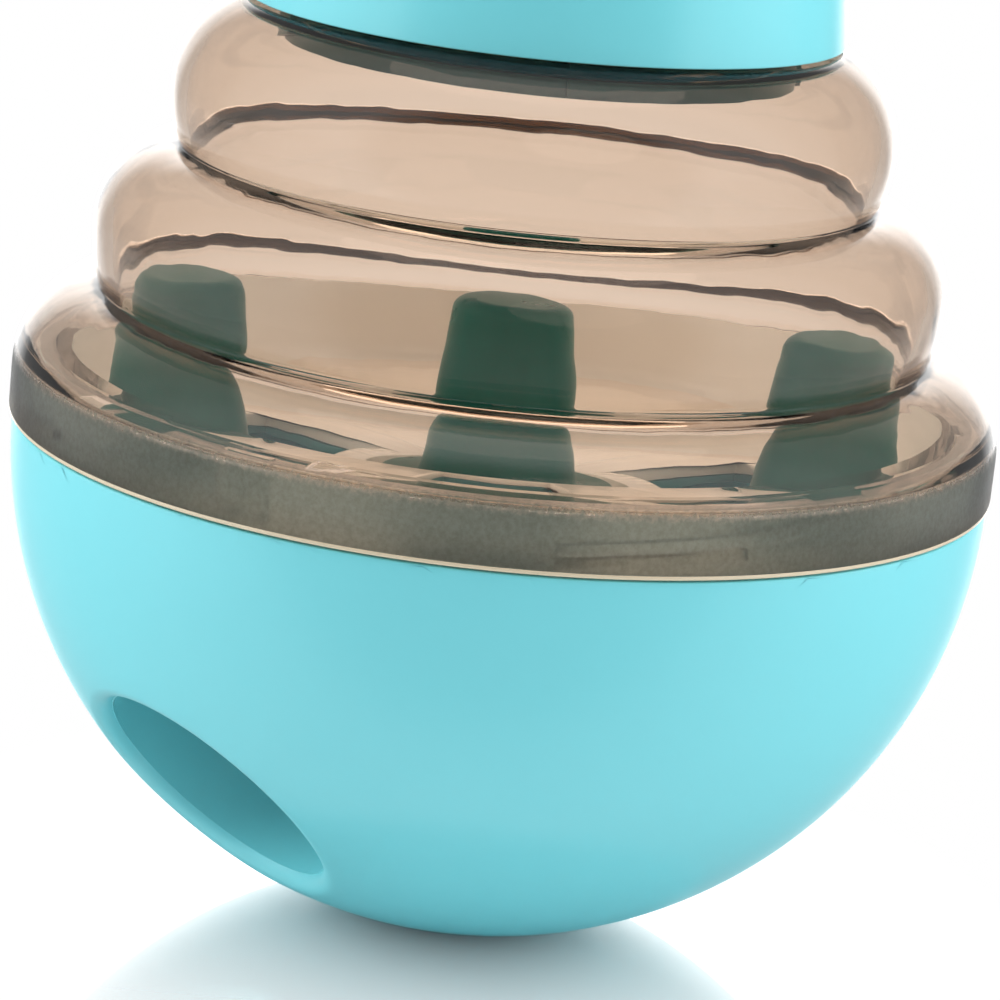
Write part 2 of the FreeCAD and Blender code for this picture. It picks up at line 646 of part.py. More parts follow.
def make_bowl():
    """Thin ball with a flat foot, the outlet with its spout, and bosses for the weight and the floor."""
    wall = new_body("bowl_wall_solid")
    revolve(wall, "bowl_hollow_ball", [
        ("axis", "base", None),
        ("foot_radius", "base", "axis"),
        ("ledge_outer", "ledge_z", None),
        ("ledge_inner", "ledge_z", "axis"),
        ("axis", "bowl_inside_z", None),
    ])
    spout_bar = outlet_cylinder("spout_bar", "spout_outer")
    spout = boolean("Cut", "spout_under_floor", [spout_bar, floor_underside("space_over_spout")])
    weight_boss = cylinder("weight_boss", "weight_boss_radius", "places.bowl_inside_z",
                           "places.weight_boss_top_z - places.bowl_inside_z")
    weight_pilot = cylinder("weight_pilot", "weight_screw_hole",
                            "places.weight_boss_top_z - sizes.weight_screw_length",
                            "sizes.weight_screw_length")
    inner_parts = [spout, weight_boss]
    holes = [outlet_cylinder("outlet_bore", "outlet_radius"), weight_pilot]
    for number, turn in enumerate(screw_headings(), start=1):
        boss = cylinder(f"floor_boss_{number}", "floor_boss_radius", "0",
                        "places.pad_foot_z - places.bowl_inside_z")
        place_at_screw(boss, turn, "places.bowl_inside_z")
        inner_parts.append(boss)
        pilot = cylinder(f"floor_pilot_{number}", "screw_hole", "0", "sizes.screw_length")
        place_at_screw(pilot, turn, "places.pad_foot_z - sizes.screw_length")
        holes.append(pilot)
    trim = doc.addObject("Part::Sphere", "bowl_trim_ball")
    trim.setExpression("Radius", "sizes.bowl_radius - sizes.bowl_wall / 3")
    trim.setExpression("Placement.Base.z", "places.centre_z")
    bosses = boolean("MultiFuse", "bosses_and_spout", inner_parts)
    inside = boolean("Common", "bowl_inner_parts", [bosses, trim])
    whole = boolean("MultiFuse", "bowl_with_inner_parts", [wall, inside])
    return boolean("Cut", "bored_bowl", [whole, boolean("MultiFuse", "bowl_holes", holes)])


def make_bowl_shell():
    """The bowl with the outer edge of its outlet rounded."""
    bowl = make_bowl()
    lip = doc.addObject("Part::Fillet", "bowl_shell")
    lip.Base = bowl
    edges = []
    for number, edge in enumerate(bowl.Shape.Edges, start=1):
        points = edge.discretize(5)
        on_ball = all(abs((point - ball_centre).Length - value("bowl_radius")) < 0.01 for point in points)
        off_line = [(point - ball_centre).cross(outlet_line).Length for point in points]
        if on_ball and all(abs(distance - value("outlet_radius")) < 0.01 for distance in off_line):
            edges.append((number, value("outlet_lip"), value("outlet_lip")))
    lip.Edges = edges
    lip.Label = "bowl_shell"
    doc.recompute()
    return lip


def make_collar_ring():
    """Ring in the bowl's mouth: thread ribs outside, keyways for the tray inside."""
    body = new_body("collar_ring")
    revolve(body, "collar", [
        ("collar_inner", "collar_foot_z", None),
        ("collar_outer", "collar_foot_z", None),
        ("collar_outer", "collar_top_z", None),
        ("collar_inner", "collar_top_z", None),
    ])
    thread_ribs(body, "collar", "lug_start", "rib_root", "rib_outer",
                "rib_foot_z", "rib_crest_z", "rib_climb")
    sketch = new_sketch(body, "keyway_outline", "XY_Plane", height="collar_top_z")
    draw_block(sketch, "keyway_inner", "keyway_outer", "keyway_width")
    keyway = pocket(body, "keyway", sketch, "places.collar_top_z - places.keyway_foot_z")
    repeat(body, "keyways", keyway, "key_count")
    return body


def make_chute_floor():
    """Shallow funnel with screw pads and the round mouth of the outlet."""
    body = new_body("chute_floor_solid")
    revolve(body, "funnel", [
        ("axis", "floor_foot_z", None),
        ("floor_flat_radius", "floor_foot_z", None),
        ("floor_outer", "floor_rim_foot_z", None),
        ("floor_outer", "floor_rim_z", None),
        ("floor_flat_radius", "floor_centre_z", None),
        ("axis", "floor_centre_z", None),
    ])
    pads = []
    holes = [outlet_cylinder("floor_mouth", "outlet_radius")]
    for number, turn in enumerate(screw_headings(), start=1):
        block = cylinder(f"floor_pad_{number}", "floor_pad_radius", "0",
                         "places.pad_top_z - places.pad_foot_z")
        place_at_screw(block, turn, "places.pad_foot_z")
        pads.append(block)
        hole = cylinder(f"floor_hole_{number}", "screw_hole", "0", "sizes.bowl_radius")
        place_at_screw(hole, turn, "places.floor_foot_z")
        holes.append(hole)
    whole = boolean("MultiFuse", "floor_with_pads", [body] + pads)
    return boolean("Cut", "chute_floor", [whole, boolean("MultiFuse", "floor_holes", holes)])


def make_counterweight():
    """Iron slug with a ball-shaped underside, hollowed at one side for the spout."""
    body = new_body("counterweight_solid")
    revolve(body, "slug", [
        ("weight_bore", "weight_bore_z", "axis"),
        ("weight_radius", "weight_rim_z", None),
        ("weight_radius", "weight_top_z", None),
        ("weight_bore", "weight_top_z", None),
    ])
    return boolean("Cut", "counterweight", [body, outlet_cylinder("spout_room", "weight_clear_radius")])


def make_weight_pad():
    """Foam ring between the counterweight and the bowl."""
    body = new_body("weight_pad")
    revolve(body, "foam", [
        ("weight_bore", "pad_bore_foot_z", "axis"),
        ("weight_pad_radius", "pad_rim_foot_z", None),
        ("weight_pad_radius", "pad_rim_top_z", "axis"),
        ("weight_bore", "pad_bore_top_z", None),
    ])
    return body


def make_washer(label, outer, hole, foot, top):
    body = new_body(label)
    corners = [(hole, foot, None), (outer, foot, None), (outer, top, None), (hole, top, None)]
    revolve(body, f"{label}_ring", corners)
    return body


def make_screw(label, radius, head_radius, length):
    """Domed head over its own origin, shank below, drive recess in the head."""
    shape = doc.addObject("Part::Cylinder", f"{label}_shank")
    shape.setExpression("Radius", ref(radius))
    shape.setExpression("Height", ref(length))
    shape.setExpression("Placement.Base.z", f"-{ref(length)}")
    rim = doc.addObject("Part::Cylinder", f"{label}_rim")
    rim.setExpression("Radius", ref(head_radius))
    rim.setExpression("Height", "sizes.screw_head_height - sizes.screw_dome")
    dome = doc.addObject("Part::Cone", f"{label}_dome")
    dome.setExpression("Radius1", ref(head_radius))
    dome.setExpression("Radius2", f"{ref(head_radius)} - 2 * sizes.screw_dome")
    dome.setExpression("Height", "sizes.screw_dome")
    dome.setExpression("Placement.Base.z", "sizes.screw_head_height - sizes.screw_dome")
    recess = doc.addObject("Part::Cone", f"{label}_recess")
    recess.setExpression("Radius1", "sizes.screw_recess_radius / 2")
    recess.setExpression("Radius2", "sizes.screw_recess_radius")
    recess.setExpression("Height", "sizes.screw_recess_depth")
    recess.setExpression("Placement.Base.z", "sizes.screw_head_height - sizes.screw_recess_depth")
    whole = boolean("MultiFuse", f"{label}_whole", [shape, rim, dome])
    return boolean("Cut", label, [whole, recess])


def make_floor_screws():
    screws = []
    for number, turn in enumerate(screw_headings(), start=1):
        screw = make_screw(f"floor_screw_{number}", "screw_radius", "screw_head_radius", "screw_length")
        place_at_screw(screw, turn, "places.pad_top_z")
        screws.append(screw)
    group = doc.addObject("Part::Compound", "floor_screws")
    group.Links = screws
    group.Label = "floor_screws"
    return group


def make_divider_tray():
    """Dish with a hanging flange, a knob recess, three drop slots and seats for the side posts."""
    body = new_body("divider_tray")
    revolve(body, "dish", [
        ("tray_bore", "tray_foot_z", None),
        ("tray_outer", "tray_foot_z", None),
        ("tray_outer", "flange_foot_z", None),
        ("flange_outer", "flange_foot_z", None),
        ("flange_outer", "flange_top_z", None),
        ("tray_inner", "flange_top_z", None),
        ("tray_inner", "tray_fillet_z", "tray_fillet_z"),
        ("tray_fillet_radius", "tray_top_z", None),
        ("recess_radius", "tray_top_z", None),
        ("recess_radius", "recess_z", None),
        ("tray_bore", "recess_z", None),
    ])
    keys = new_sketch(body, "key_outline", "XY_Plane", height="key_foot_z")
    draw_block(keys, "key_root", "key_outer", "key_width")
    key = pad(body, "key", keys, "places.collar_top_z - places.key_foot_z")
    repeat(body, "keys", key, "key_count")
    slots = new_sketch(body, "slot_outline", "XY_Plane", height="tray_top_z")
    draw_sector(slots, "slot_inner", "slot_outer", "slot_width")
    turn_sketch(slots, "slot_heading")
    slot = pocket(body, "slot", slots, "sizes.tray_thickness")
    repeat(body, "slots", slot, "slot_count")
    seats = new_sketch(body, "post_seat_outline", "XY_Plane", height="tray_fillet_z")
    spigots = new_sketch(body, "spigot_outline", "XY_Plane", height="tray_top_z")
    for side in (-1, 1):
        draw_circle(seats, "post_seat_radius", "post_x", "post_y", side)
        draw_circle(spigots, "spigot_bore", "post_x", "post_y", side)
    pocket(body, "post_seats", seats, "sizes.tray_fillet + sizes.post_seat_depth")
    body.Tip = pocket(body, "spigot_holes", spigots, "sizes.tray_thickness")
    return body


def make_adjusting_knob():
    """Tapered post on a notched flange, with a stem and a square drive for the shutter."""
    body = new_body("adjusting_knob")
    revolve(body, "post", [
        ("axis", "shutter_top_z", None),
        ("stem_radius", "shutter_top_z", None),
        ("stem_radius", "knob_flange_foot_z", None),
        ("knob_flange_radius", "knob_flange_foot_z", None),
        ("knob_flange_radius", "knob_flange_top_z", None),
        ("knob_base_radius", "knob_flange_top_z", None),
        ("knob_top_radius", "knob_shoulder_z", "knob_shoulder_z"),
        ("knob_crown_radius", "knob_top_z", None),
        ("axis", "knob_top_z", None),
    ])
    notch = new_sketch(body, "notch_outline", "XY_Plane", height="knob_flange_top_z")
    draw_block(notch, "notch_inner", "notch_outer", "notch_width")
    pocket(body, "notch", notch, "sizes.knob_flange_thickness")
    drive = new_sketch(body, "drive_outline", "XY_Plane", height="drive_foot_z")
    draw_square(drive, "drive_width")
    pad(body, "drive", drive, "places.shutter_top_z - places.drive_foot_z")
    pilot = new_sketch(body, "knob_pilot_outline", "XY_Plane", height="knob_pilot_z")
    draw_circle(pilot, "screw_hole")
    body.Tip = pocket(body, "knob_pilot", pilot, "places.knob_pilot_z - places.drive_foot_z")
    body.Placement = Placement(Vector(), Rotation(Vector(0, 0, 1), -90))
    return body


def make_shutter_disc():
    """Flat disc under the tray, with the tray's own slots in it."""
    body = new_body("shutter_disc")
    rim = new_sketch(body, "shutter_outline", "XY_Plane", height="shutter_foot_z")
    draw_circle(rim, "shutter_radius")
    draw_square(rim, "drive_hole")
    pad(body, "disc", rim, "sizes.shutter_thickness")
    slots = new_sketch(body, "shutter_slot_outline", "XY_Plane", height="shutter_top_z")
    draw_sector(slots, "slot_inner", "slot_outer", "slot_width")
    turn_sketch(slots, "slot_heading")
    slot = pocket(body, "shutter_slot", slots, "sizes.shutter_thickness")
    repeat(body, "shutter_slots", slot, "slot_count")
    return body


def make_side_post(label, side):
    """Fixed tapered post with a flange and a spigot through the tray."""
    body = new_body(label)
    revolve(body, f"{label}_taper", [
        ("axis", "tray_foot_z", None),
        ("spigot_radius", "tray_foot_z", None),
        ("spigot_radius", "post_flange_foot_z", None),
        ("post_flange_radius", "post_flange_foot_z", None),
        ("post_flange_radius", "post_flange_top_z", None),
        ("post_base_radius", "post_flange_top_z", None),
        ("post_top_radius", "post_shoulder_z", "post_shoulder_z"),
        ("post_crown_radius", "post_top_z", None),
        ("axis", "post_top_z", None),
    ])
    body.setExpression("Placement.Base.x", f"{side} * places.post_x")
    body.setExpression("Placement.Base.y", "places.post_y")
    return body


def make_ribbed_shell():
    """Three-tier shell: thread lugs and a lifting bead in its skirt, thread ribs in its neck."""
    body = new_body("ribbed_shell")
    revolve(body, "tiers", [
        ("skirt_inner", "seam_z", None),
        ("skirt_outer", "seam_z", None),
        ("skirt_outer", "lower_wall_top_z", "lower_wall_top_z"),
        ("lower_crease", "lower_crease_z", "middle_wall_top_z"),
        ("middle_radius", "middle_wall_top_z", "middle_wall_top_z"),
        ("upper_crease", "upper_crease_z", "upper_wall_top_z"),
        ("upper_radius", "upper_wall_top_z", "upper_wall_top_z"),
        ("shoulder_radius", "shoulder_z", None),
        ("neck_outer", "shoulder_z", None),
        ("neck_outer", "neck_top_z", None),
        ("neck_inner", "neck_top_z", None),
        ("neck_inner", "ceiling_z", None),
        ("ceiling_outer", "ceiling_z", "upper_wall_top_z"),
        ("upper_inner", "upper_wall_top_z", "upper_wall_top_z"),
        ("upper_crease_in", "upper_crease_in_z", "middle_wall_top_z"),
        ("middle_inner", "middle_wall_top_z", "middle_wall_top_z"),
        ("lower_crease_in", "lower_crease_in_z", "lower_wall_top_z"),
        ("skirt_inner", "skirt_top_z", None),
        ("skirt_inner", "bead_top_z", None),
        ("bead_inner", "bead_top_z", None),
        ("bead_inner", "bead_foot_z", None),
        ("skirt_inner", "bead_foot_z", None),
    ])
    thread_ribs(body, "skirt_lug", "lug_start", "lug_inner", "lug_root",
                "lug_foot_z", "lug_top_z", "lug_climb")
    thread_ribs(body, "neck", "cap_lug_start", "neck_rib_inner", "neck_rib_root",
                "neck_rib_foot_z", "neck_rib_top_z", "rib_climb")
    return body


def make_cap_seal_ring():
    return make_washer("cap_seal_ring", "seal_outer", "seal_inner", "seal_foot_z", "seal_top_z")


def make_top_cap():
    """Tapered cup with a domed top and an inner step that the liner sits against."""
    body = new_body("top_cap")
    revolve(body, "cup", [
        ("cap_inner", "cap_foot_z", None),
        ("cap_radius", "cap_foot_z", None),
        ("cap_side_radius", "cap_side_z", "cap_side_z"),
        ("cap_crown_radius", "cap_crown_z", "axis"),
        ("axis", "cap_top_z", None),
        ("axis", "cap_ceiling_z", "axis"),
        ("cap_crown_inner", "cap_crown_inner_z", "cap_side_z"),
        ("cap_bore", "cap_side_z", None),
        ("cap_bore", "liner_top_z", None),
        ("cap_seat_radius", "liner_top_z", None),
    ])
    return body


def make_cap_liner():
    """Inner cup of the cap: a threaded plug with a flange."""
    body = new_body("cap_liner")
    revolve(body, "plug", [
        ("liner_inner", "liner_foot_z", None),
        ("liner_outer", "liner_foot_z", None),
        ("liner_outer", "liner_flange_z", None),
        ("liner_flange", "liner_flange_z", None),
        ("liner_flange", "liner_top_z", None),
        ("axis", "liner_top_z", None),
        ("axis", "liner_flange_z", None),
        ("liner_inner", "liner_flange_z", None),
    ])
    thread_ribs(body, "liner_lug", "cap_lug_start", "cap_lug_root", "cap_lug_outer",
                "cap_lug_foot_z", "cap_lug_top_z", "cap_lug_climb")
    return body


def make_weight_screw():
    screw = make_screw("weight_screw", "weight_screw_radius", "weight_screw_head_radius",
                       "weight_screw_length")
    screw.setExpression("Placement.Base.z", ref("weight_washer_top_z"))
    return screw


def make_shutter_screw():
    """Screwed up into the knob's stem, so its head points down."""
    screw = make_screw("shutter_screw", "screw_radius", "screw_head_radius", "screw_length")
    screw.Placement = Placement(Vector(), Rotation(Vector(1, 0, 0), 180))
    screw.setExpression("Placement.Base.z", ref("shutter_washer_z"))
    return screw


NODES = [
    make_bowl_shell(),
    make_collar_ring(),
    make_chute_floor(),
    make_floor_screws(),
    make_counterweight(),
    make_weight_pad(),
    make_washer("weight_washer", "weight_washer_radius", "weight_screw_hole",
                "weight_top_z", "weight_washer_top_z"),
    make_weight_screw(),
    make_divider_tray(),
    make_side_post("side_post_left", -1),
    make_side_post("side_post_right", 1),
    make_adjusting_knob(),
    make_shutter_disc(),
    make_washer("shutter_washer", "shutter_washer_radius", "screw_hole",
                "shutter_washer_z", "shutter_foot_z"),
    make_shutter_screw(),
    make_ribbed_shell(),
    make_cap_seal_ring(),
    make_top_cap(),
    make_cap_liner(),
]

doc.recompute()
for feature in doc.Objects:
    if "Invalid" in feature.State or "Error" in feature.State:
        raise RuntimeError(f"{feature.Label} did not recompute: {feature.State}")
for node in NODES:
    if node.Shape.isNull() or not node.Shape.isValid() or not node.Shape.Solids:
        raise RuntimeError(f"{node.Label} has no valid solid")
for node in NODES:
    node.Shape.exportStep(f"parts/{node.Label}.step")
    print(f"{node.Label}: {len(node.Shape.Solids)} solid, {node.Shape.Volume / 1000:.2f} cm3")
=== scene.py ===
import math

import bmesh
import bpy
from mathutils import Matrix, Vector


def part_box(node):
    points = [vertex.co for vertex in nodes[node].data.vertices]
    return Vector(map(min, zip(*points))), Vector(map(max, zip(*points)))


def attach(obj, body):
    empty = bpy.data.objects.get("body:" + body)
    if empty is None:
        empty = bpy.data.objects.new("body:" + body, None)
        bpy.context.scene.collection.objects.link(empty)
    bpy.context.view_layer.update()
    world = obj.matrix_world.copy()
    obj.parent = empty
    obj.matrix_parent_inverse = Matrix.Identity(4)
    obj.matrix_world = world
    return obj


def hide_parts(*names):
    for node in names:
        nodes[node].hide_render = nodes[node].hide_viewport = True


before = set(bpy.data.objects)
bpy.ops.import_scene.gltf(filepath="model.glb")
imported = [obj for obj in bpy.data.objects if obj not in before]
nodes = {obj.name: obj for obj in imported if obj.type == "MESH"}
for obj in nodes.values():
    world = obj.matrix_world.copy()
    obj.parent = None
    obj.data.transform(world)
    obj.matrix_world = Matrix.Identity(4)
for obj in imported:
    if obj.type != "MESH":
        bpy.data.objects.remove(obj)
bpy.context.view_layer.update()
mm = 0.001


# Camera: a long lens a little over the ball's middle, turned a few degrees so that the
# ball leans in the frame. It aims just under the ball's centre.
bowl_radius = 57.0 * mm
foot_radius = 9.0 * mm
centre_z = math.sqrt(bowl_radius**2 - foot_radius**2)
camera_distance = 498.5 * mm
camera_height_angle = math.radians(13.94)
camera_turn = math.radians(5.88)
camera_aim = math.radians(-0.711)

bpy.ops.object.select_all(action="DESELECT")
bpy.ops.object.camera_add()
camera = bpy.context.object
camera.data.lens = 153.14
camera.data.sensor_width = 36.0
camera.data.clip_start = 0.01
camera.matrix_world = (
    Matrix.Translation((0, -camera_distance * math.cos(camera_height_angle),
                        centre_z + camera_distance * math.sin(camera_height_angle)))
    @ Matrix.Rotation(math.radians(90) - camera_height_angle, 4, "X")
    @ Matrix.Rotation(camera_turn, 4, "Z")
    @ Matrix.Rotation(camera_aim, 4, "X"))
bpy.context.scene.camera = camera
bpy.context.scene.view_settings.view_transform = "Standard"


# Studio: a white room with four soft lamps, whose mirrored rays see pale walls at the
# sides. The polished table mirrors the ball's foot and is plain white further off.
def new_material(name):
    """An empty node material and its tree."""
    material = bpy.data.materials.new(name)
    material.use_nodes = True
    material.node_tree.nodes.clear()
    return material, material.node_tree


def place(tree, kind, **values):
    """A node, with its settings and the plain values of its inputs."""
    node = tree.nodes.new(kind)
    for key, setting in values.items():
        if hasattr(node, key):
            setattr(node, key, setting)
        else:
            node.inputs[key.replace("_", " ")].default_value = setting
    return node


room_level = 0.61
mirrored_gain = 3.2
wall_levels = ((0.0, 0.04), (0.13, 0.12), (0.26, 0.74), (0.42, 0.64), (0.60, 0.34), (0.72, 0.16),
               (0.90, 0.12), (1.0, 1.0))
world = bpy.data.worlds.new("white_room")
bpy.context.scene.world = world
world.use_nodes = True
room = world.node_tree
room.nodes.clear()
ray = place(room, "ShaderNodeLightPath")
seen = place(room, "ShaderNodeMath", operation="MAXIMUM")
room_light = place(room, "ShaderNodeMapRange")
room_light.inputs["To Min"].default_value = room_level
room_light.inputs["To Max"].default_value = 1.0
heading = place(room, "ShaderNodeTexCoord")
depth = place(room, "ShaderNodeSeparateXYZ")
turn = place(room, "ShaderNodeMapRange")
turn.inputs["From Min"].default_value = -1.0
softboxes = place(room, "ShaderNodeValToRGB")
softboxes.color_ramp.interpolation = "EASE"
stops = softboxes.color_ramp.elements
for spot, level in wall_levels:
    stop = stops[0] if spot == 0.0 else stops[-1] if spot == 1.0 else stops.new(spot)
    stop.color = (level, level, level, 1)
mirrored = place(room, "ShaderNodeMath", operation="MULTIPLY")
mirrored.inputs[1].default_value = mirrored_gain
bounced = place(room, "ShaderNodeMath", operation="SUBTRACT")
glossy = place(room, "ShaderNodeMix")
glow = place(room, "ShaderNodeBackground", Color=(1, 1, 1, 1))
out = place(room, "ShaderNodeOutputWorld")
room.links.new(ray.outputs["Is Camera Ray"], seen.inputs[0])
room.links.new(ray.outputs["Is Transmission Ray"], seen.inputs[1])
room.links.new(seen.outputs[0], room_light.inputs["Value"])
room.links.new(heading.outputs["Generated"], depth.inputs[0])
room.links.new(depth.outputs["Y"], turn.inputs["Value"])
room.links.new(turn.outputs[0], softboxes.inputs["Fac"])
room.links.new(softboxes.outputs["Color"], mirrored.inputs[0])
room.links.new(ray.outputs["Is Glossy Ray"], bounced.inputs[0])
room.links.new(ray.outputs["Is Transmission Ray"], bounced.inputs[1])
room.links.new(bounced.outputs[0], glossy.inputs["Factor"])
room.links.new(room_light.outputs[0], glossy.inputs["A"])
room.links.new(mirrored.outputs[0], glossy.inputs["B"])
room.links.new(glossy.outputs["Result"], glow.inputs["Strength"])
room.links.new(glow.outputs[0], out.inputs["Surface"])

for name, spot, size, power, seen_through in (
        ("lamp_front", (0.25, -0.80, 0.55), 0.60, 1.5, True),
        ("lamp_right", (0.60, 0.12, 0.25), 0.50, 2.8, False),
        ("lamp_left", (-0.60, 0.12, 0.25), 0.50, 3.3, False),
        ("lamp_top", (0.0, 0.10, 0.95), 0.80, 3.0, True)):
    bpy.ops.object.light_add(type="AREA", location=spot)
    lamp = bpy.context.object
    lamp.name = name
    lamp.data.shape = "DISK"
    lamp.data.size = size
    lamp.data.energy = power
    lamp.visible_glossy = False
    lamp.visible_transmission = seen_through
    lamp.rotation_euler = (Vector((0, 0, centre_z)) - Vector(spot)).to_track_quat("-Z", "Y").to_euler()

bpy.ops.object.select_all(action="DESELECT")
table_size = 6.0
mirror_reach = 10.0 * mm
white_reach = 70.0 * mm
bpy.ops.mesh.primitive_plane_add(size=table_size)
table = bpy.context.object
table.name = "table"
table_top, tree = new_material("polished_white_table")
ray = place(tree, "ShaderNodeLightPath")
seen = place(tree, "ShaderNodeMath", operation="MAXIMUM")
where = place(tree, "ShaderNodeTexCoord")
reach = place(tree, "ShaderNodeVectorMath", operation="LENGTH")
fade = place(tree, "ShaderNodeMapRange")
fade.inputs["From Min"].default_value = mirror_reach
fade.inputs["From Max"].default_value = white_reach
whiteness = place(tree, "ShaderNodeMath", operation="MULTIPLY")
surface = place(tree, "ShaderNodeBsdfPrincipled", Base_Color=(0.88, 0.88, 0.88, 1), Roughness=0.03,
                Metallic=0.7)
white = place(tree, "ShaderNodeEmission")
blend = place(tree, "ShaderNodeMixShader")
out = place(tree, "ShaderNodeOutputMaterial")
tree.links.new(ray.outputs["Is Camera Ray"], seen.inputs[0])
tree.links.new(ray.outputs["Is Transmission Ray"], seen.inputs[1])
tree.links.new(where.outputs["Object"], reach.inputs[0])
tree.links.new(reach.outputs["Value"], fade.inputs["Value"])
tree.links.new(seen.outputs[0], whiteness.inputs[0])
tree.links.new(fade.outputs[0], whiteness.inputs[1])
tree.links.new(whiteness.outputs[0], blend.inputs["Fac"])
tree.links.new(surface.outputs[0], blend.inputs[1])
tree.links.new(white.outputs[0], blend.inputs[2])
tree.links.new(blend.outputs[0], out.inputs["Surface"])
table.data.materials.append(table_top)


# Bowl: the lower half of the ball, moulded in turquoise plastic with a satin skin. Its
# wall runs round a side outlet with a rolled lip and a short spout inside.
def only(piece):
    """Makes one piece the selected and active one."""
    bpy.ops.object.select_all(action="DESELECT")
    piece.select_set(True)
    bpy.context.view_layer.objects.active = piece


def arc_points(centre, radius, start, end, steps):
    """Points of a round stretch of an outline. Angles in degrees, from the level line."""
    turns = [math.radians(start + (end - start) * step / steps) for step in range(steps + 1)]
    return [(centre[0] + radius * math.cos(turn), centre[1] + radius * math.sin(turn)) for turn in turns]


def turned(name, outline, sides=192):
    """A closed outline, drawn as a run of points and spun once round the upright axis."""
    bpy.ops.object.select_all(action="DESELECT")
    bpy.ops.mesh.primitive_plane_add(size=mm)
    piece = bpy.context.object
    piece.name = name
    piece.data.name = name
    bpy.ops.object.mode_set(mode="EDIT")
    bpy.ops.mesh.select_mode(type="VERT")
    bpy.ops.mesh.select_all(action="SELECT")
    bpy.ops.mesh.merge(type="CENTER")
    bpy.ops.transform.translate(value=(outline[0][0], 0, outline[0][1]))
    for start, end in zip(outline, outline[1:] + outline[:1]):
        if end is outline[0] and start[0] < 1e-7 and end[0] < 1e-7:
            continue
        bpy.ops.mesh.extrude_region_move(
            TRANSFORM_OT_translate={"value": (end[0] - start[0], 0, end[1] - start[1])})
    bpy.ops.mesh.select_all(action="SELECT")
    bpy.ops.mesh.remove_doubles(threshold=1e-6)
    bpy.ops.mesh.select_all(action="SELECT")
    bpy.ops.mesh.spin(steps=sides, angle=2 * math.pi, center=(0, 0, 0), axis=(0, 0, 1))
    bpy.ops.mesh.select_all(action="SELECT")
    bpy.ops.mesh.remove_doubles(threshold=1e-6)
    bpy.ops.mesh.normals_make_consistent(inside=False)
    bpy.ops.object.mode_set(mode="OBJECT")
    return piece


def apply_all(piece):
    """Puts the piece's place in its mesh."""
    only(piece)
    bpy.ops.object.transform_apply(location=True, rotation=True, scale=True)


def combine(piece, tool, how):
    """Adds a second mesh to a piece or takes it away, and deletes the tool."""
    only(piece)
    step = piece.modifiers.new(how.lower(), "BOOLEAN")
    step.operation = how
    step.solver = "EXACT"
    step.object = tool
    bpy.ops.object.modifier_apply(modifier=step.name)
    bpy.data.objects.remove(tool)


def join(pieces):
    """Several separate meshes made one object."""
    bpy.ops.object.select_all(action="DESELECT")
    for piece in pieces:
        piece.select_set(True)
    bpy.context.view_layer.objects.active = pieces[0]
    bpy.ops.object.join()
    return bpy.context.object


def pick(test):
    """In edit mode, selects the edges that pass a test of their middle and themselves."""
    shape = bmesh.from_edit_mesh(bpy.context.object.data)
    bpy.ops.mesh.select_all(action="DESELECT")
    bpy.ops.mesh.select_mode(type="EDGE")
    for edge in shape.edges:
        middle = (edge.verts[0].co + edge.verts[1].co) / 2
        edge.select_set(bool(test(middle, edge)))
    bmesh.update_edit_mesh(bpy.context.object.data)


def round_edges(piece, width, angle=35, segments=3):
    """Small rounding of every sharp edge, as a mould's polished corners leave it."""
    only(piece)
    step = piece.modifiers.new("rounding", "BEVEL")
    step.width = width
    step.segments = segments
    step.limit_method = "ANGLE"
    step.angle_limit = math.radians(angle)
    step.use_clamp_overlap = True
    bpy.ops.object.modifier_apply(modifier=step.name)


def smooth(piece, angle=32):
    """Smooth shading that stops at edges sharper than an angle."""
    only(piece)
    bpy.ops.object.shade_smooth_by_angle(angle=math.radians(angle))


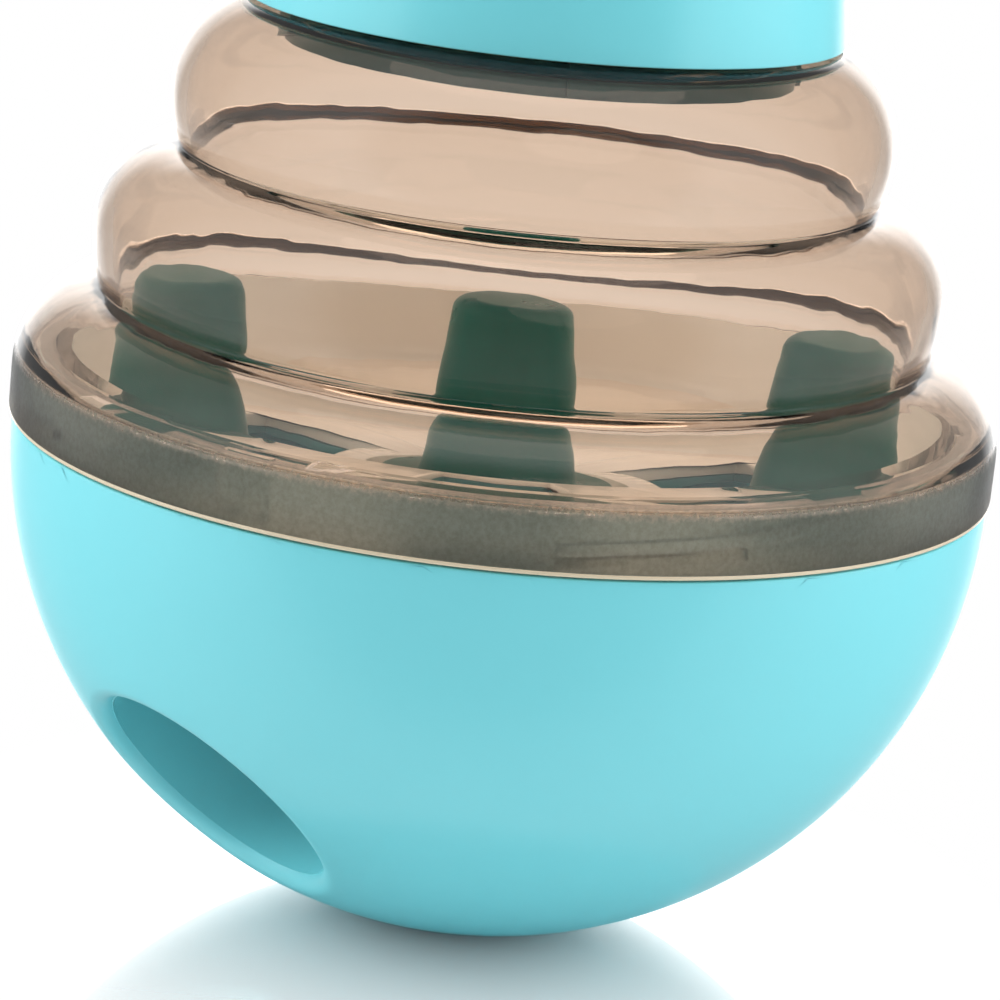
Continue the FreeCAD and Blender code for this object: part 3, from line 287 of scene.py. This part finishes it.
def moulded_skin():
    """Node group of a moulded plastic's skin: faint flow tone, uneven gloss and orange peel."""
    group = bpy.data.node_groups.new("moulded_skin", "ShaderNodeTree")
    for label, kind, start in (("Colour", "NodeSocketColor", (0.5, 0.5, 0.5, 1)),
                               ("Gloss", "NodeSocketFloat", 0.25), ("Gloss Spread", "NodeSocketFloat", 0.06),
                               ("Tone", "NodeSocketFloat", 0.04), ("Peel Size", "NodeSocketFloat", 700.0)):
        socket = group.interface.new_socket(name=label, in_out="INPUT", socket_type=kind)
        socket.default_value = start
    for label, kind in (("Colour", "NodeSocketColor"), ("Roughness", "NodeSocketFloat"),
                        ("Height", "NodeSocketFloat")):
        group.interface.new_socket(name=label, in_out="OUTPUT", socket_type=kind)
    start = place(group, "NodeGroupInput")
    end = place(group, "NodeGroupOutput")
    where = place(group, "ShaderNodeTexCoord")
    flow = place(group, "ShaderNodeTexNoise", Scale=26.0, Detail=3.0, Roughness=0.55)
    smear = place(group, "ShaderNodeTexNoise", Scale=95.0, Detail=5.0, Roughness=0.6)
    peel = place(group, "ShaderNodeTexNoise", Detail=2.0, Roughness=0.5)
    for texture in (flow, smear, peel):
        group.links.new(where.outputs["Object"], texture.inputs["Vector"])
    group.links.new(start.outputs["Peel Size"], peel.inputs["Scale"])
    centred = place(group, "ShaderNodeMath", operation="SUBTRACT")
    centred.inputs[1].default_value = 0.5
    amount = place(group, "ShaderNodeMath", operation="MULTIPLY")
    bright = place(group, "ShaderNodeMath", operation="ADD")
    bright.inputs[1].default_value = 1.0
    toned = place(group, "ShaderNodeHueSaturation")
    group.links.new(flow.outputs["Fac"], centred.inputs[0])
    group.links.new(centred.outputs[0], amount.inputs[0])
    group.links.new(start.outputs["Tone"], amount.inputs[1])
    group.links.new(amount.outputs[0], bright.inputs[0])
    group.links.new(bright.outputs[0], toned.inputs["Value"])
    group.links.new(start.outputs["Colour"], toned.inputs["Color"])
    group.links.new(toned.outputs["Color"], end.inputs["Colour"])
    uneven = place(group, "ShaderNodeMath", operation="SUBTRACT")
    uneven.inputs[1].default_value = 0.5
    spread = place(group, "ShaderNodeMath", operation="MULTIPLY")
    rough = place(group, "ShaderNodeMath", operation="ADD")
    group.links.new(smear.outputs["Fac"], uneven.inputs[0])
    group.links.new(uneven.outputs[0], spread.inputs[0])
    group.links.new(start.outputs["Gloss Spread"], spread.inputs[1])
    group.links.new(spread.outputs[0], rough.inputs[0])
    group.links.new(start.outputs["Gloss"], rough.inputs[1])
    group.links.new(rough.outputs[0], end.inputs["Roughness"])
    group.links.new(peel.outputs["Fac"], end.inputs["Height"])
    return group


skin = moulded_skin()


def moulded_plastic(name, colour, gloss, ior=1.55):
    """Opaque moulded plastic: the skin group in a glossy surface."""
    material, tree = new_material(name)
    finish = place(tree, "ShaderNodeGroup", node_tree=skin)
    finish.inputs["Colour"].default_value = (*colour, 1)
    finish.inputs["Gloss"].default_value = gloss
    bump = place(tree, "ShaderNodeBump", Strength=0.03, Distance=0.2 * mm)
    surface = place(tree, "ShaderNodeBsdfPrincipled", IOR=ior)
    out = place(tree, "ShaderNodeOutputMaterial")
    tree.links.new(finish.outputs["Colour"], surface.inputs["Base Color"])
    tree.links.new(finish.outputs["Roughness"], surface.inputs["Roughness"])
    tree.links.new(finish.outputs["Height"], bump.inputs["Height"])
    tree.links.new(bump.outputs["Normal"], surface.inputs["Normal"])
    tree.links.new(surface.outputs[0], out.inputs["Surface"])
    return material


def wear(piece, material):
    """Gives a piece or a CAD node its one material."""
    piece.data.materials.clear()
    piece.data.materials.append(material)


bowl_wall = 2.4 * mm
bowl_inner = bowl_radius - bowl_wall
seam_z = centre_z + 0.9 * mm
ledge_z = seam_z - 0.3 * mm
edge_rounding = 0.25 * mm
outlet_radius = 15.2 * mm
spout_outer = 17.2 * mm
outlet_lip = 2.0 * mm
outlet_heading = math.radians(224.5)
outlet_dip = math.radians(42.5)
outlet_line = Vector((math.cos(outlet_dip) * math.cos(outlet_heading),
                      math.cos(outlet_dip) * math.sin(outlet_heading), -math.sin(outlet_dip)))
along_outlet = (Matrix.Translation((0, 0, centre_z))
                @ Vector((0, 0, 1)).rotation_difference(outlet_line).to_matrix().to_4x4())

lip_across = outlet_radius + outlet_lip
lip_up = math.sqrt((bowl_radius - outlet_lip)**2 - lip_across**2)
lip_end = math.degrees(math.atan2(lip_up, lip_across))
inside_edge = math.degrees(math.acos(outlet_radius / bowl_inner))
wall_outline = (arc_points((lip_across, lip_up), outlet_lip, 180, lip_end, 8)
                + arc_points((0, 0), bowl_radius, lip_end, -90, 100)[1:-1]
                + [(0, -bowl_radius), (0, -bowl_inner)]
                + arc_points((0, 0), bowl_inner, -90, inside_edge, 90)[1:])
bowl_sides = 208
bowl = turned("bowl", [(max(across, 0.0), up) for across, up in wall_outline], bowl_sides)
bowl.matrix_world = along_outlet
apply_all(bowl)

bpy.ops.object.mode_set(mode="EDIT")
bpy.ops.mesh.select_all(action="SELECT")
bpy.ops.mesh.bisect(plane_co=(0, 0, ledge_z), plane_no=(0, 0, 1), clear_outer=True, threshold=1e-6)
pick(lambda middle, edge: edge.is_boundary)
bpy.ops.mesh.bridge_edge_loops()
bpy.ops.mesh.select_all(action="SELECT")
bpy.ops.mesh.bisect(plane_co=(0, 0, 0), plane_no=(0, 0, 1), clear_inner=True, use_fill=True,
                    threshold=1e-6)
pick(lambda middle, edge: edge.is_manifold and edge.calc_face_angle(0) > math.radians(40)
     and abs(middle.z - ledge_z) < 0.05 * mm)
bpy.ops.mesh.bevel(offset=edge_rounding, segments=3, affect="EDGES")
bpy.ops.mesh.select_all(action="SELECT")
bpy.ops.mesh.normals_make_consistent(inside=False)
bpy.ops.object.mode_set(mode="OBJECT")

floor_flat_radius = 10.0 * mm
floor_rim_radius = 49.92 * mm
floor_rise = 14.0 * mm
floor_foot_z = centre_z - 36.0 * mm
floor_slope = floor_rise / (floor_rim_radius - floor_flat_radius)
spout_inner = outlet_radius + 0.02 * mm
spout_start = 20.0 * mm
spout_end = 52.9 * mm
spout = turned("spout", [(spout_inner, spout_start), (spout_outer, spout_start),
                         (spout_outer, spout_end), (spout_inner, spout_end)], bowl_sides)
spout.matrix_world = along_outlet
apply_all(spout)
bpy.ops.mesh.primitive_cone_add(vertices=192, radius1=floor_flat_radius, depth=bowl_radius,
                                radius2=floor_flat_radius + bowl_radius / floor_slope,
                                location=(0, 0, floor_foot_z + bowl_radius / 2))
over_floor = bpy.context.object
apply_all(over_floor)
combine(spout, over_floor, "DIFFERENCE")

weight_height = 11.6 * mm
weight_top_z = centre_z - bowl_inner + weight_height
screw_circle = 40.0 * mm
screw_headings = [math.radians(44.5 + 120 * turn) for turn in range(3)]
boss_gap = 0.3 * mm
weight_boss, weight_pilot, weight_pilot_depth = 3.8 * mm, 2.05 * mm, 8.0 * mm
floor_boss, floor_pilot, floor_pilot_depth = 3.5 * mm, 1.55 * mm, 9.0 * mm
floor_pad = 4.2 * mm
boss_spots = [(0, 0, weight_boss, weight_top_z - boss_gap, weight_pilot, weight_pilot_depth)]
pad_foot_z = floor_foot_z + floor_slope * (screw_circle - floor_pad - floor_flat_radius) - boss_gap
for heading in screw_headings:
    boss_spots.append((screw_circle * math.cos(heading), screw_circle * math.sin(heading),
                       floor_boss, pad_foot_z, floor_pilot, floor_pilot_depth))
bosses = []
pilots = []
for across, up, radius, top, hole, depth in boss_spots:
    bpy.ops.mesh.primitive_cylinder_add(vertices=48, radius=radius, depth=top,
                                        location=(across, up, top / 2))
    boss = bpy.context.object
    apply_all(boss)
    bosses.append(boss)
    bpy.ops.mesh.primitive_cylinder_add(vertices=32, radius=hole, depth=depth + 2 * mm,
                                        location=(across, up, top + mm - depth / 2))
    pilot = bpy.context.object
    apply_all(pilot)
    pilots.append(pilot)
fixings = join(bosses)
bpy.ops.mesh.primitive_uv_sphere_add(segments=192, ring_count=96, radius=bowl_radius - bowl_wall / 2,
                                     location=(0, 0, centre_z))
inside_ball = bpy.context.object
apply_all(inside_ball)
combine(fixings, inside_ball, "INTERSECT")
combine(bowl, join([spout, fixings]), "UNION")
combine(bowl, join(pilots), "DIFFERENCE")
smooth(bowl)
turquoise = (0.172, 0.665, 0.745)
wear(bowl, moulded_plastic("turquoise_satin_plastic", turquoise, 0.30))
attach(bowl, "bowl")
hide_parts("bowl_shell")


# Ribbed shell: clear smoke-tinted plastic in three rounded tiers, each set back from
# the one under it, with a frosted skirt that screws over the bowl's collar.
def wall_arc(start, end, level, steps):
    """Points after the first of an arc from start to end whose centre is at a known height."""
    shift = (end[0]**2 - start[0]**2 + (end[1] - level)**2 - (start[1] - level)**2)
    across = shift / (2 * (end[0] - start[0]))
    radius = math.hypot(start[0] - across, start[1] - level)
    first = math.degrees(math.atan2(start[1] - level, start[0] - across))
    last = math.degrees(math.atan2(end[1] - level, end[0] - across))
    return arc_points((across, level), radius, first, last, steps)[1:]


def outline_through(corners, steps=18):
    """An outline through corners in mm, each with the height of the arc that leaves it or None."""
    run = []
    for (across, up, level), following in zip(corners, corners[1:] + corners[:1]):
        run.append((across * mm, up * mm))
        if level is not None:
            end = (following[0] * mm, following[1] * mm)
            run += wall_arc(run[-1], end, level * mm, steps)[:-1]
    return run


def round_blocks(count, start, span, near, far, foot, top, climb=0.0, steps=10):
    """Equal blocks round the axis: each an end face, carried round and, on a thread, up."""
    blocks = []
    for number in range(count):
        bpy.ops.object.select_all(action="DESELECT")
        bpy.ops.mesh.primitive_plane_add(size=1.0)
        block = bpy.context.object
        block.dimensions = (far - near, top - foot, 0)
        bpy.ops.object.transform_apply(location=False, rotation=False, scale=True)
        block.rotation_euler = (math.radians(90), 0, 0)
        block.location = ((near + far) / 2, 0, (foot + top) / 2)
        apply_all(block)
        block.rotation_euler = (0, 0, math.radians(start + 360 / count * number))
        apply_all(block)
        bpy.ops.object.mode_set(mode="EDIT")
        bpy.ops.mesh.select_all(action="SELECT")
        for _ in range(steps):
            bpy.ops.mesh.extrude_region_move(TRANSFORM_OT_translate={"value": (0, 0, climb / steps)})
            bpy.ops.transform.rotate(value=-math.radians(span / steps), orient_axis="Z",
                                     center_override=(0, 0, 0))
        bpy.ops.mesh.select_all(action="SELECT")
        bpy.ops.mesh.normals_make_consistent(inside=False)
        bpy.ops.object.mode_set(mode="OBJECT")
        blocks.append(block)
    return join(blocks)


def eased(outline, corner, reach, steps=8):
    """The outline with one corner, in mm, eased into a curve over a reach on both sides."""
    corner = (corner[0] * mm, corner[1] * mm)
    first = last = outline.index(corner)
    while math.dist(outline[first], corner) < reach:
        first -= 1
    while math.dist(outline[last], corner) < reach:
        last += 1
    curve = []
    for step in range(1, steps):
        share = step / steps
        curve.append(tuple((1 - share)**2 * start + 2 * share * (1 - share) * middle + share**2 * end
                           for start, middle, end in zip(outline[first], corner, outline[last])))
    return outline[:first + 1] + curve + outline[last:]


ridge_reach = 2.0 * mm
shell_corners = [
    (55.3, 57.185, None), (57.4, 57.185, None), (57.4, 57.685, None), (57.4, 62.285, 62.285),
    (48.4, 72.885, 79.785), (49.3, 79.785, 79.785), (40.4, 89.685, 95.785), (41.7, 95.785, 95.785),
    (34.5, 107.185, None), (31.8, 107.185, None), (31.8, 112.285, None), (30.2, 112.285, None),
    (30.2, 105.185, None), (34.0, 105.185, 95.785), (39.7, 95.785, 95.785), (37.7, 87.735, 79.785),
    (47.3, 79.785, 79.785), (45.7, 70.935, 62.285), (55.3, 65.785, None), (55.3, 63.885, None),
    (54.5, 63.885, None), (54.5, 63.385, None), (55.3, 63.385, None)]
inner_ridges = ((37.7, 87.735), (45.7, 70.935))
shell_outline = outline_through(shell_corners, 14)
for ridge in inner_ridges:
    shell_outline = eased(shell_outline, ridge, ridge_reach)
shell = turned("shell", shell_outline, 240)
round_edges(shell, edge_rounding, 30)
lugs = round_blocks(count=4, start=277.45, span=21.7, near=54.3 * mm, far=55.6 * mm,
                    foot=57.285 * mm, top=58.585 * mm, climb=1.45 * mm)
neck_ribs = round_blocks(count=4, start=276.15, span=45.0, near=29.2 * mm, far=30.5 * mm,
                         foot=105.785 * mm, top=107.185 * mm, climb=3.0 * mm, steps=16)
combine(shell, join([lugs, neck_ribs]), "UNION")
smooth(shell, 40)


def smoke_plastic(name, tint, gloss, ripple, ior=1.36, absorbing=0.0):
    """See-through smoke-tinted plastic with a slightly wavy wall, and its surface node."""
    material, tree = new_material(name)
    where = place(tree, "ShaderNodeTexCoord")
    wave = place(tree, "ShaderNodeTexNoise", Scale=110.0, Detail=1.5, Roughness=0.45)
    bump = place(tree, "ShaderNodeBump", Strength=ripple, Distance=0.001)
    glass = place(tree, "ShaderNodeBsdfPrincipled", Base_Color=(*tint, 1), Roughness=gloss, IOR=ior)
    glass.inputs["Transmission Weight"].default_value = 1.0
    glass.inputs["Specular IOR Level"].default_value = 0.2
    ray = place(tree, "ShaderNodeLightPath")
    passing = place(tree, "ShaderNodeBsdfTransparent")
    passing.inputs["Color"].default_value = (1.0, 0.99, 0.97, 1)
    choice = place(tree, "ShaderNodeMixShader")
    out = place(tree, "ShaderNodeOutputMaterial")
    tree.links.new(where.outputs["Object"], wave.inputs["Vector"])
    tree.links.new(wave.outputs["Fac"], bump.inputs["Height"])
    tree.links.new(bump.outputs["Normal"], glass.inputs["Normal"])
    tree.links.new(ray.outputs["Is Shadow Ray"], choice.inputs["Fac"])
    tree.links.new(glass.outputs[0], choice.inputs[1])
    tree.links.new(passing.outputs[0], choice.inputs[2])
    tree.links.new(choice.outputs[0], out.inputs["Surface"])
    if absorbing:
        thick = place(tree, "ShaderNodeVolumeAbsorption", Density=absorbing)
        thick.inputs["Color"].default_value = (0.62, 0.50, 0.38, 1)
        tree.links.new(thick.outputs[0], out.inputs["Volume"])
    return material, glass


def frosted_plastic(name, tint, gloss, frosted, foot_tint, frosted_gloss, frost_top, frost_edge):
    """The smoke plastic with a skin frosted below a height, which shows from outside alone."""
    material, glass = smoke_plastic(name, tint, gloss, 0.12, absorbing=212.0)
    tree = material.node_tree
    skin_radius = 55.8 * mm
    foot_start = frost_top - 3.0 * mm
    foot_full = frost_top - 6.5 * mm
    where = place(tree, "ShaderNodeTexCoord")
    height = place(tree, "ShaderNodeSeparateXYZ")
    level = place(tree, "ShaderNodeVectorMath", operation="MULTIPLY")
    level.inputs[1].default_value = (1, 1, 0)
    across = place(tree, "ShaderNodeVectorMath", operation="LENGTH")
    outer = place(tree, "ShaderNodeMath", operation="GREATER_THAN")
    outer.inputs[1].default_value = skin_radius
    outer_frost = place(tree, "ShaderNodeMath", operation="MULTIPLY")
    grain = place(tree, "ShaderNodeTexNoise", Scale=1600.0, Detail=3.0, Roughness=0.7)
    stray = place(tree, "ShaderNodeMath", operation="MULTIPLY_ADD")
    stray.inputs[1].default_value = frost_edge
    frost = place(tree, "ShaderNodeMapRange", interpolation_type="SMOOTHSTEP")
    frost.inputs["From Min"].default_value = frost_top + frost_edge
    frost.inputs["From Max"].default_value = frost_top
    speck = place(tree, "ShaderNodeMapRange")
    speck.inputs["From Min"].default_value = 0.35
    speck.inputs["From Max"].default_value = 0.65
    speck.inputs["To Min"].default_value = 0.70
    speck.inputs["To Max"].default_value = 1.10
    near_foot = place(tree, "ShaderNodeMapRange")
    near_foot.inputs["From Min"].default_value = foot_start
    near_foot.inputs["From Max"].default_value = foot_full
    shade = place(tree, "ShaderNodeMix", data_type="RGBA")
    shade.inputs["A"].default_value = (*frosted, 1)
    shade.inputs["B"].default_value = (*foot_tint, 1)
    grit = place(tree, "ShaderNodeMix", data_type="RGBA", blend_type="MULTIPLY")
    grit.inputs["Factor"].default_value = 1.0
    side = place(tree, "ShaderNodeNewGeometry")
    outside = place(tree, "ShaderNodeMath", operation="SUBTRACT", use_clamp=True)
    body = place(tree, "ShaderNodeMix", data_type="RGBA")
    body.inputs["A"].default_value = (*tint, 1)
    rough = place(tree, "ShaderNodeMapRange")
    rough.inputs["To Min"].default_value = gloss
    rough.inputs["To Max"].default_value = frosted_gloss
    tree.links.new(where.outputs["Object"], height.inputs[0])
    tree.links.new(where.outputs["Object"], grain.inputs["Vector"])
    tree.links.new(grain.outputs["Fac"], stray.inputs[0])
    tree.links.new(height.outputs["Z"], stray.inputs[2])
    tree.links.new(stray.outputs[0], frost.inputs["Value"])
    tree.links.new(where.outputs["Object"], level.inputs[0])
    tree.links.new(level.outputs[0], across.inputs[0])
    tree.links.new(across.outputs["Value"], outer.inputs[0])
    tree.links.new(frost.outputs[0], outer_frost.inputs[0])
    tree.links.new(outer.outputs[0], outer_frost.inputs[1])
    tree.links.new(outer_frost.outputs[0], outside.inputs[0])
    tree.links.new(side.outputs["Backfacing"], outside.inputs[1])
    tree.links.new(height.outputs["Z"], near_foot.inputs["Value"])
    tree.links.new(near_foot.outputs[0], shade.inputs["Factor"])
    tree.links.new(shade.outputs["Result"], grit.inputs["A"])
    tree.links.new(grain.outputs["Fac"], speck.inputs["Value"])
    tree.links.new(speck.outputs[0], grit.inputs["B"])
    tree.links.new(grit.outputs["Result"], body.inputs["B"])
    tree.links.new(outside.outputs[0], body.inputs["Factor"])
    tree.links.new(outside.outputs[0], rough.inputs["Value"])
    tree.links.new(body.outputs["Result"], glass.inputs["Base Color"])
    tree.links.new(rough.outputs[0], glass.inputs["Roughness"])
    return material


def other_finishes(piece, finishes):
    """Gives the faces that pass a test their own material: pairs of material and test of a face."""
    for slot, (material, test) in enumerate(finishes, start=1):
        piece.data.materials.append(material)
        for face in piece.data.polygons:
            if test(face.center, face.normal):
                face.material_index = slot


wear(shell, frosted_plastic(
    "smoke_tinted_clear_plastic", tint=(1.0, 0.912, 0.836), gloss=0.02, frosted=(0.195, 0.36, 0.42),
    foot_tint=(0.19, 0.275, 0.285), frosted_gloss=0.42, frost_top=64.5 * mm, frost_edge=2.2 * mm))
shell_foot_z = 57.63 * mm
shell_foot_radius = 56.0 * mm
other_finishes(shell, (
    (moulded_plastic("polished_shell_foot", (0.66, 0.56, 0.40), 0.15),
     lambda middle, way: middle.z < shell_foot_z and math.hypot(middle.x, middle.y) > shell_foot_radius),))
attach(shell, "shell")
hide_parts("ribbed_shell")


# Divider tray: the floor of the treat chamber, hung in the bowl's mouth by its flange.
# Its floor is milky, its rim clear, and its wall clear from outside; the wall's inner face is a near-white
# copy of the milky plastic, as painted light.
# Three slots let the treats drop.
tray_outline = [(across * mm, up * mm) for across, up in (
    (5.08, 50.885), (51.9, 50.885), (51.9, 64.185), (55.0, 64.185), (55.0, 65.385), (50.3, 65.385))]
tray_outline += arc_points((47.3 * mm, 56.285 * mm), 3 * mm, 0, -90, 8)
tray_outline += [(across * mm, up * mm) for across, up in (
    (16.0, 53.285), (16.0, 52.085), (5.08, 52.085))]
tray = turned("tray", tray_outline, 180)
drop_slots = round_blocks(count=3, start=12.0, span=36.0, near=20.0 * mm, far=44.0 * mm,
                          foot=50.0 * mm, top=54.0 * mm, steps=12)
combine(tray, drop_slots, "DIFFERENCE")
post_x = 37.42 * mm
post_y = -6.60 * mm
post_seat = (11.05 * mm, 52.485 * mm, 56.285 * mm)
spigot_hole = (3.55 * mm, 50.0 * mm, 54.0 * mm)
for side in (-1, 1):
    for radius, foot, top in (post_seat, spigot_hole):
        bpy.ops.object.select_all(action="DESELECT")
        bpy.ops.mesh.primitive_cylinder_add(vertices=96, radius=radius, depth=top - foot,
                                            location=(side * post_x, post_y, (foot + top) / 2))
        seat = bpy.context.object
        apply_all(seat)
        combine(tray, seat, "DIFFERENCE")
keys = round_blocks(count=3, start=-3.3, span=6.6, near=51.1 * mm, far=52.85 * mm,
                    foot=57.885 * mm, top=63.885 * mm, steps=4)
combine(tray, keys, "UNION")
tray_rounding = 0.2 * mm
round_edges(tray, tray_rounding, 50, 2)
smooth(tray, 40)


def milky_plastic(name, colour, gloss, clearness):
    """Tinted plastic that scatters a part of the light and lets the rest through."""
    material, tree = new_material(name)
    finish = place(tree, "ShaderNodeGroup", node_tree=skin)
    finish.inputs["Colour"].default_value = (*colour, 1)
    finish.inputs["Gloss"].default_value = gloss
    finish.inputs["Gloss Spread"].default_value = 0.04
    bump = place(tree, "ShaderNodeBump", Strength=0.05, Distance=0.0003)
    surface = place(tree, "ShaderNodeBsdfPrincipled", IOR=1.5)
    surface.inputs["Transmission Weight"].default_value = clearness
    out = place(tree, "ShaderNodeOutputMaterial")
    tree.links.new(finish.outputs["Colour"], surface.inputs["Base Color"])
    tree.links.new(finish.outputs["Roughness"], surface.inputs["Roughness"])
    tree.links.new(finish.outputs["Height"], bump.inputs["Height"])
    tree.links.new(bump.outputs["Normal"], surface.inputs["Normal"])
    tree.links.new(surface.outputs[0], out.inputs["Surface"])
    return material


tray_rim, _ = smoke_plastic("clear_tray_rim", (0.99, 0.97, 0.95), 0.02, 0.05, 1.04)
wall_inside, wall_glass = smoke_plastic("tray_wall_painted_light", (0.99, 0.97, 0.95), 0.02, 0.05, 1.04)
tree = wall_inside.node_tree
# The wall's inner face, seen from the chamber, is the tray's milky plastic painted brighter, near white:
# painted light on the back wall. From outside the wall stays clear.
lit = place(tree, "ShaderNodeBsdfPrincipled", Base_Color=(1.0, 0.975, 0.93, 1), Roughness=0.15, IOR=1.4)
side = place(tree, "ShaderNodeNewGeometry")
through = place(tree, "ShaderNodeMixShader")
tree.links.new(side.outputs["Backfacing"], through.inputs["Fac"])
tree.links.new(lit.outputs[0], through.inputs[1])
tree.links.new(wall_glass.outputs[0], through.inputs[2])
for link in list(wall_glass.outputs[0].links):
    if link.to_node != through:
        tree.links.new(through.outputs[0], link.to_socket)
wear(tray, milky_plastic("milky_tray_floor", (0.98, 0.91, 0.83), 0.06, 0.0))
tray_wall_foot_z = 54.0 * mm
tray_rim_radius = 49.5 * mm
upward = 0.7
other_finishes(tray, (
    (tray_rim, lambda middle, way: middle.z > tray_wall_foot_z
     and math.hypot(middle.x, middle.y) > tray_rim_radius),
    (wall_inside, lambda middle, way: middle.z > tray_wall_foot_z
     and middle.x * way.x + middle.y * way.y < 0 and way.z < upward)))
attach(tray, "tray")
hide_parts("divider_tray")


# Side posts: two pegs of deep blue-green plastic, tapered, with rounded tops and a round
# flange, pressed in the tray.
blue_green = (0.010, 0.105, 0.090)
post_plastic = moulded_plastic("blue_green_post_plastic", blue_green, 0.30, ior=1.2)


def peg(name, spigot, foot_z, seat_z, flange, base, top, top_z, rounding):
    """A tapered round post on a thin flange, with a spigot under it. Sizes in mm."""
    flange_top = seat_z + 1.4
    outline = [(0, foot_z), (spigot, foot_z), (spigot, seat_z), (flange, seat_z),
               (flange, flange_top), (base, flange_top), (top, top_z - rounding)]
    outline = [(across * mm, up * mm) for across, up in outline]
    outline += arc_points(((top - rounding) * mm, (top_z - rounding) * mm), rounding * mm, 8, 90, 8)
    outline.append((0, top_z * mm))
    return turned(name, outline, 96)


for node, side in (("side_post_left", -1), ("side_post_right", 1)):
    post = peg(node.replace("side_post", "post"), spigot=3.5, foot_z=50.885, seat_z=52.485,
               flange=11.0, base=9.0, top=6.4, top_z=74.385, rounding=2.0)
    post.location = (side * post_x, post_y, 0)
    apply_all(post)
    round_edges(post, edge_rounding, 40)
    smooth(post)
    wear(post, post_plastic)
    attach(post, "tray")
    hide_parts(node)


# Adjusting knob: the taller middle post, with a finger notch in its flange's front. Its
# square stem goes down through the tray and turns the shutter.
knob_foot_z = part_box("adjusting_knob")[0][2] / mm
knob_flange = 13.7
stem_top_z = 51.5
knob = peg("knob", spigot=5.0, foot_z=50.885, seat_z=52.385, flange=knob_flange, base=9.2, top=7.1,
           top_z=74.585, rounding=2.0)
bpy.ops.object.select_all(action="DESELECT")
bpy.ops.mesh.primitive_cube_add(size=1.0, location=(0, 0, (knob_foot_z + stem_top_z) / 2 * mm))
drive = bpy.context.object
drive.dimensions = (6 * mm, 6 * mm, (stem_top_z - knob_foot_z) * mm)
apply_all(drive)
combine(knob, drive, "UNION")
bpy.ops.object.select_all(action="DESELECT")
bpy.ops.mesh.primitive_cube_add(size=1.0, location=(0, -knob_flange * mm, 53.0 * mm))
notch = bpy.context.object
notch.dimensions = (3 * mm, 3 * mm, 4 * mm)
apply_all(notch)
combine(knob, notch, "DIFFERENCE")
round_edges(knob, edge_rounding, 40)
smooth(knob)
wear(knob, moulded_plastic("blue_green_knob_plastic", blue_green, 0.28, ior=1.2))
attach(knob, "shutter")
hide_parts("adjusting_knob")


# Cap: a turquoise cup with a domed top, turned down over the shell's neck.
def dome_level(across, up, top):
    """Height of the centre of the arc that goes from a point up to the axis."""
    return (up**2 + across**2 - top**2) / (2 * (up - top))


crown, crown_z, cap_top_z = 26.5, 129.885, 131.985
ceiling, ceiling_z, ceiling_top_z = 26.2, 127.985, 130.085
near_axis = 0.0001 * mm
cap_outline = outline_through([
    (32.7, 107.485, None), (34.6, 107.485, None), (33.0, 122.285, 122.285), (crown, crown_z, None)])
cap_outline += wall_arc((crown * mm, crown_z * mm), (near_axis, cap_top_z * mm),
                        dome_level(crown, crown_z, cap_top_z) * mm, 14)
cap_outline += [(0.0, cap_top_z * mm), (0.0, ceiling_top_z * mm)]
cap_outline += wall_arc((near_axis, ceiling_top_z * mm), (ceiling * mm, ceiling_z * mm),
                        dome_level(ceiling, ceiling_z, ceiling_top_z) * mm, 14)
cap_outline += wall_arc((ceiling * mm, ceiling_z * mm), (31.0 * mm, 122.285 * mm), 122.285 * mm, 10)
cap_outline += [(31.0 * mm, 116.285 * mm), (31.75 * mm, 116.285 * mm)]
cap = turned("cap", cap_outline, 192)
cap_rounding = 0.3 * mm
round_edges(cap, cap_rounding, 35)
smooth(cap)
wear(cap, moulded_plastic("turquoise_cap_plastic", turquoise, 0.24))
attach(cap, "cap")
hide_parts("top_cap")


# Small pieces that keep their cut shapes: collar, chute floor, shutter, liner, seal,
# counterweight, foam pad, screws and washers. Each gets its material.
deep_turquoise = (0.12, 0.50, 0.54)
wear(nodes["collar_ring"], milky_plastic("milky_collar_plastic", (0.97, 0.94, 0.90), 0.20, 0.85))
wear(nodes["chute_floor"], moulded_plastic("floor_plastic", deep_turquoise, 0.35))
wear(nodes["shutter_disc"], moulded_plastic("shutter_plastic", (0.08, 0.28, 0.30), 0.45))
# The liner's near-black colour is painted shade: it stands for the dark band that the shaded neck shows
# through the shell.
wear(nodes["cap_liner"], moulded_plastic("liner_plastic", (0.016, 0.062, 0.058), 0.30, ior=1.2))
wear(nodes["cap_seal_ring"], moulded_plastic("seal_silicone", (0.06, 0.20, 0.21), 0.55))
wear(nodes["counterweight"], moulded_plastic("lacquered_iron", (0.03, 0.03, 0.032), 0.5))
wear(nodes["weight_pad"], moulded_plastic("black_foam", (0.02, 0.02, 0.022), 0.9))
steel = moulded_plastic("zinc_plated_steel", (0.62, 0.62, 0.62), 0.3)
for name in ("floor_screws", "weight_washer", "weight_screw", "shutter_washer", "shutter_screw"):
    wear(nodes[name], steel)


def corners(box):
    """A box as plain lists."""
    return [list(corner) for corner in box]
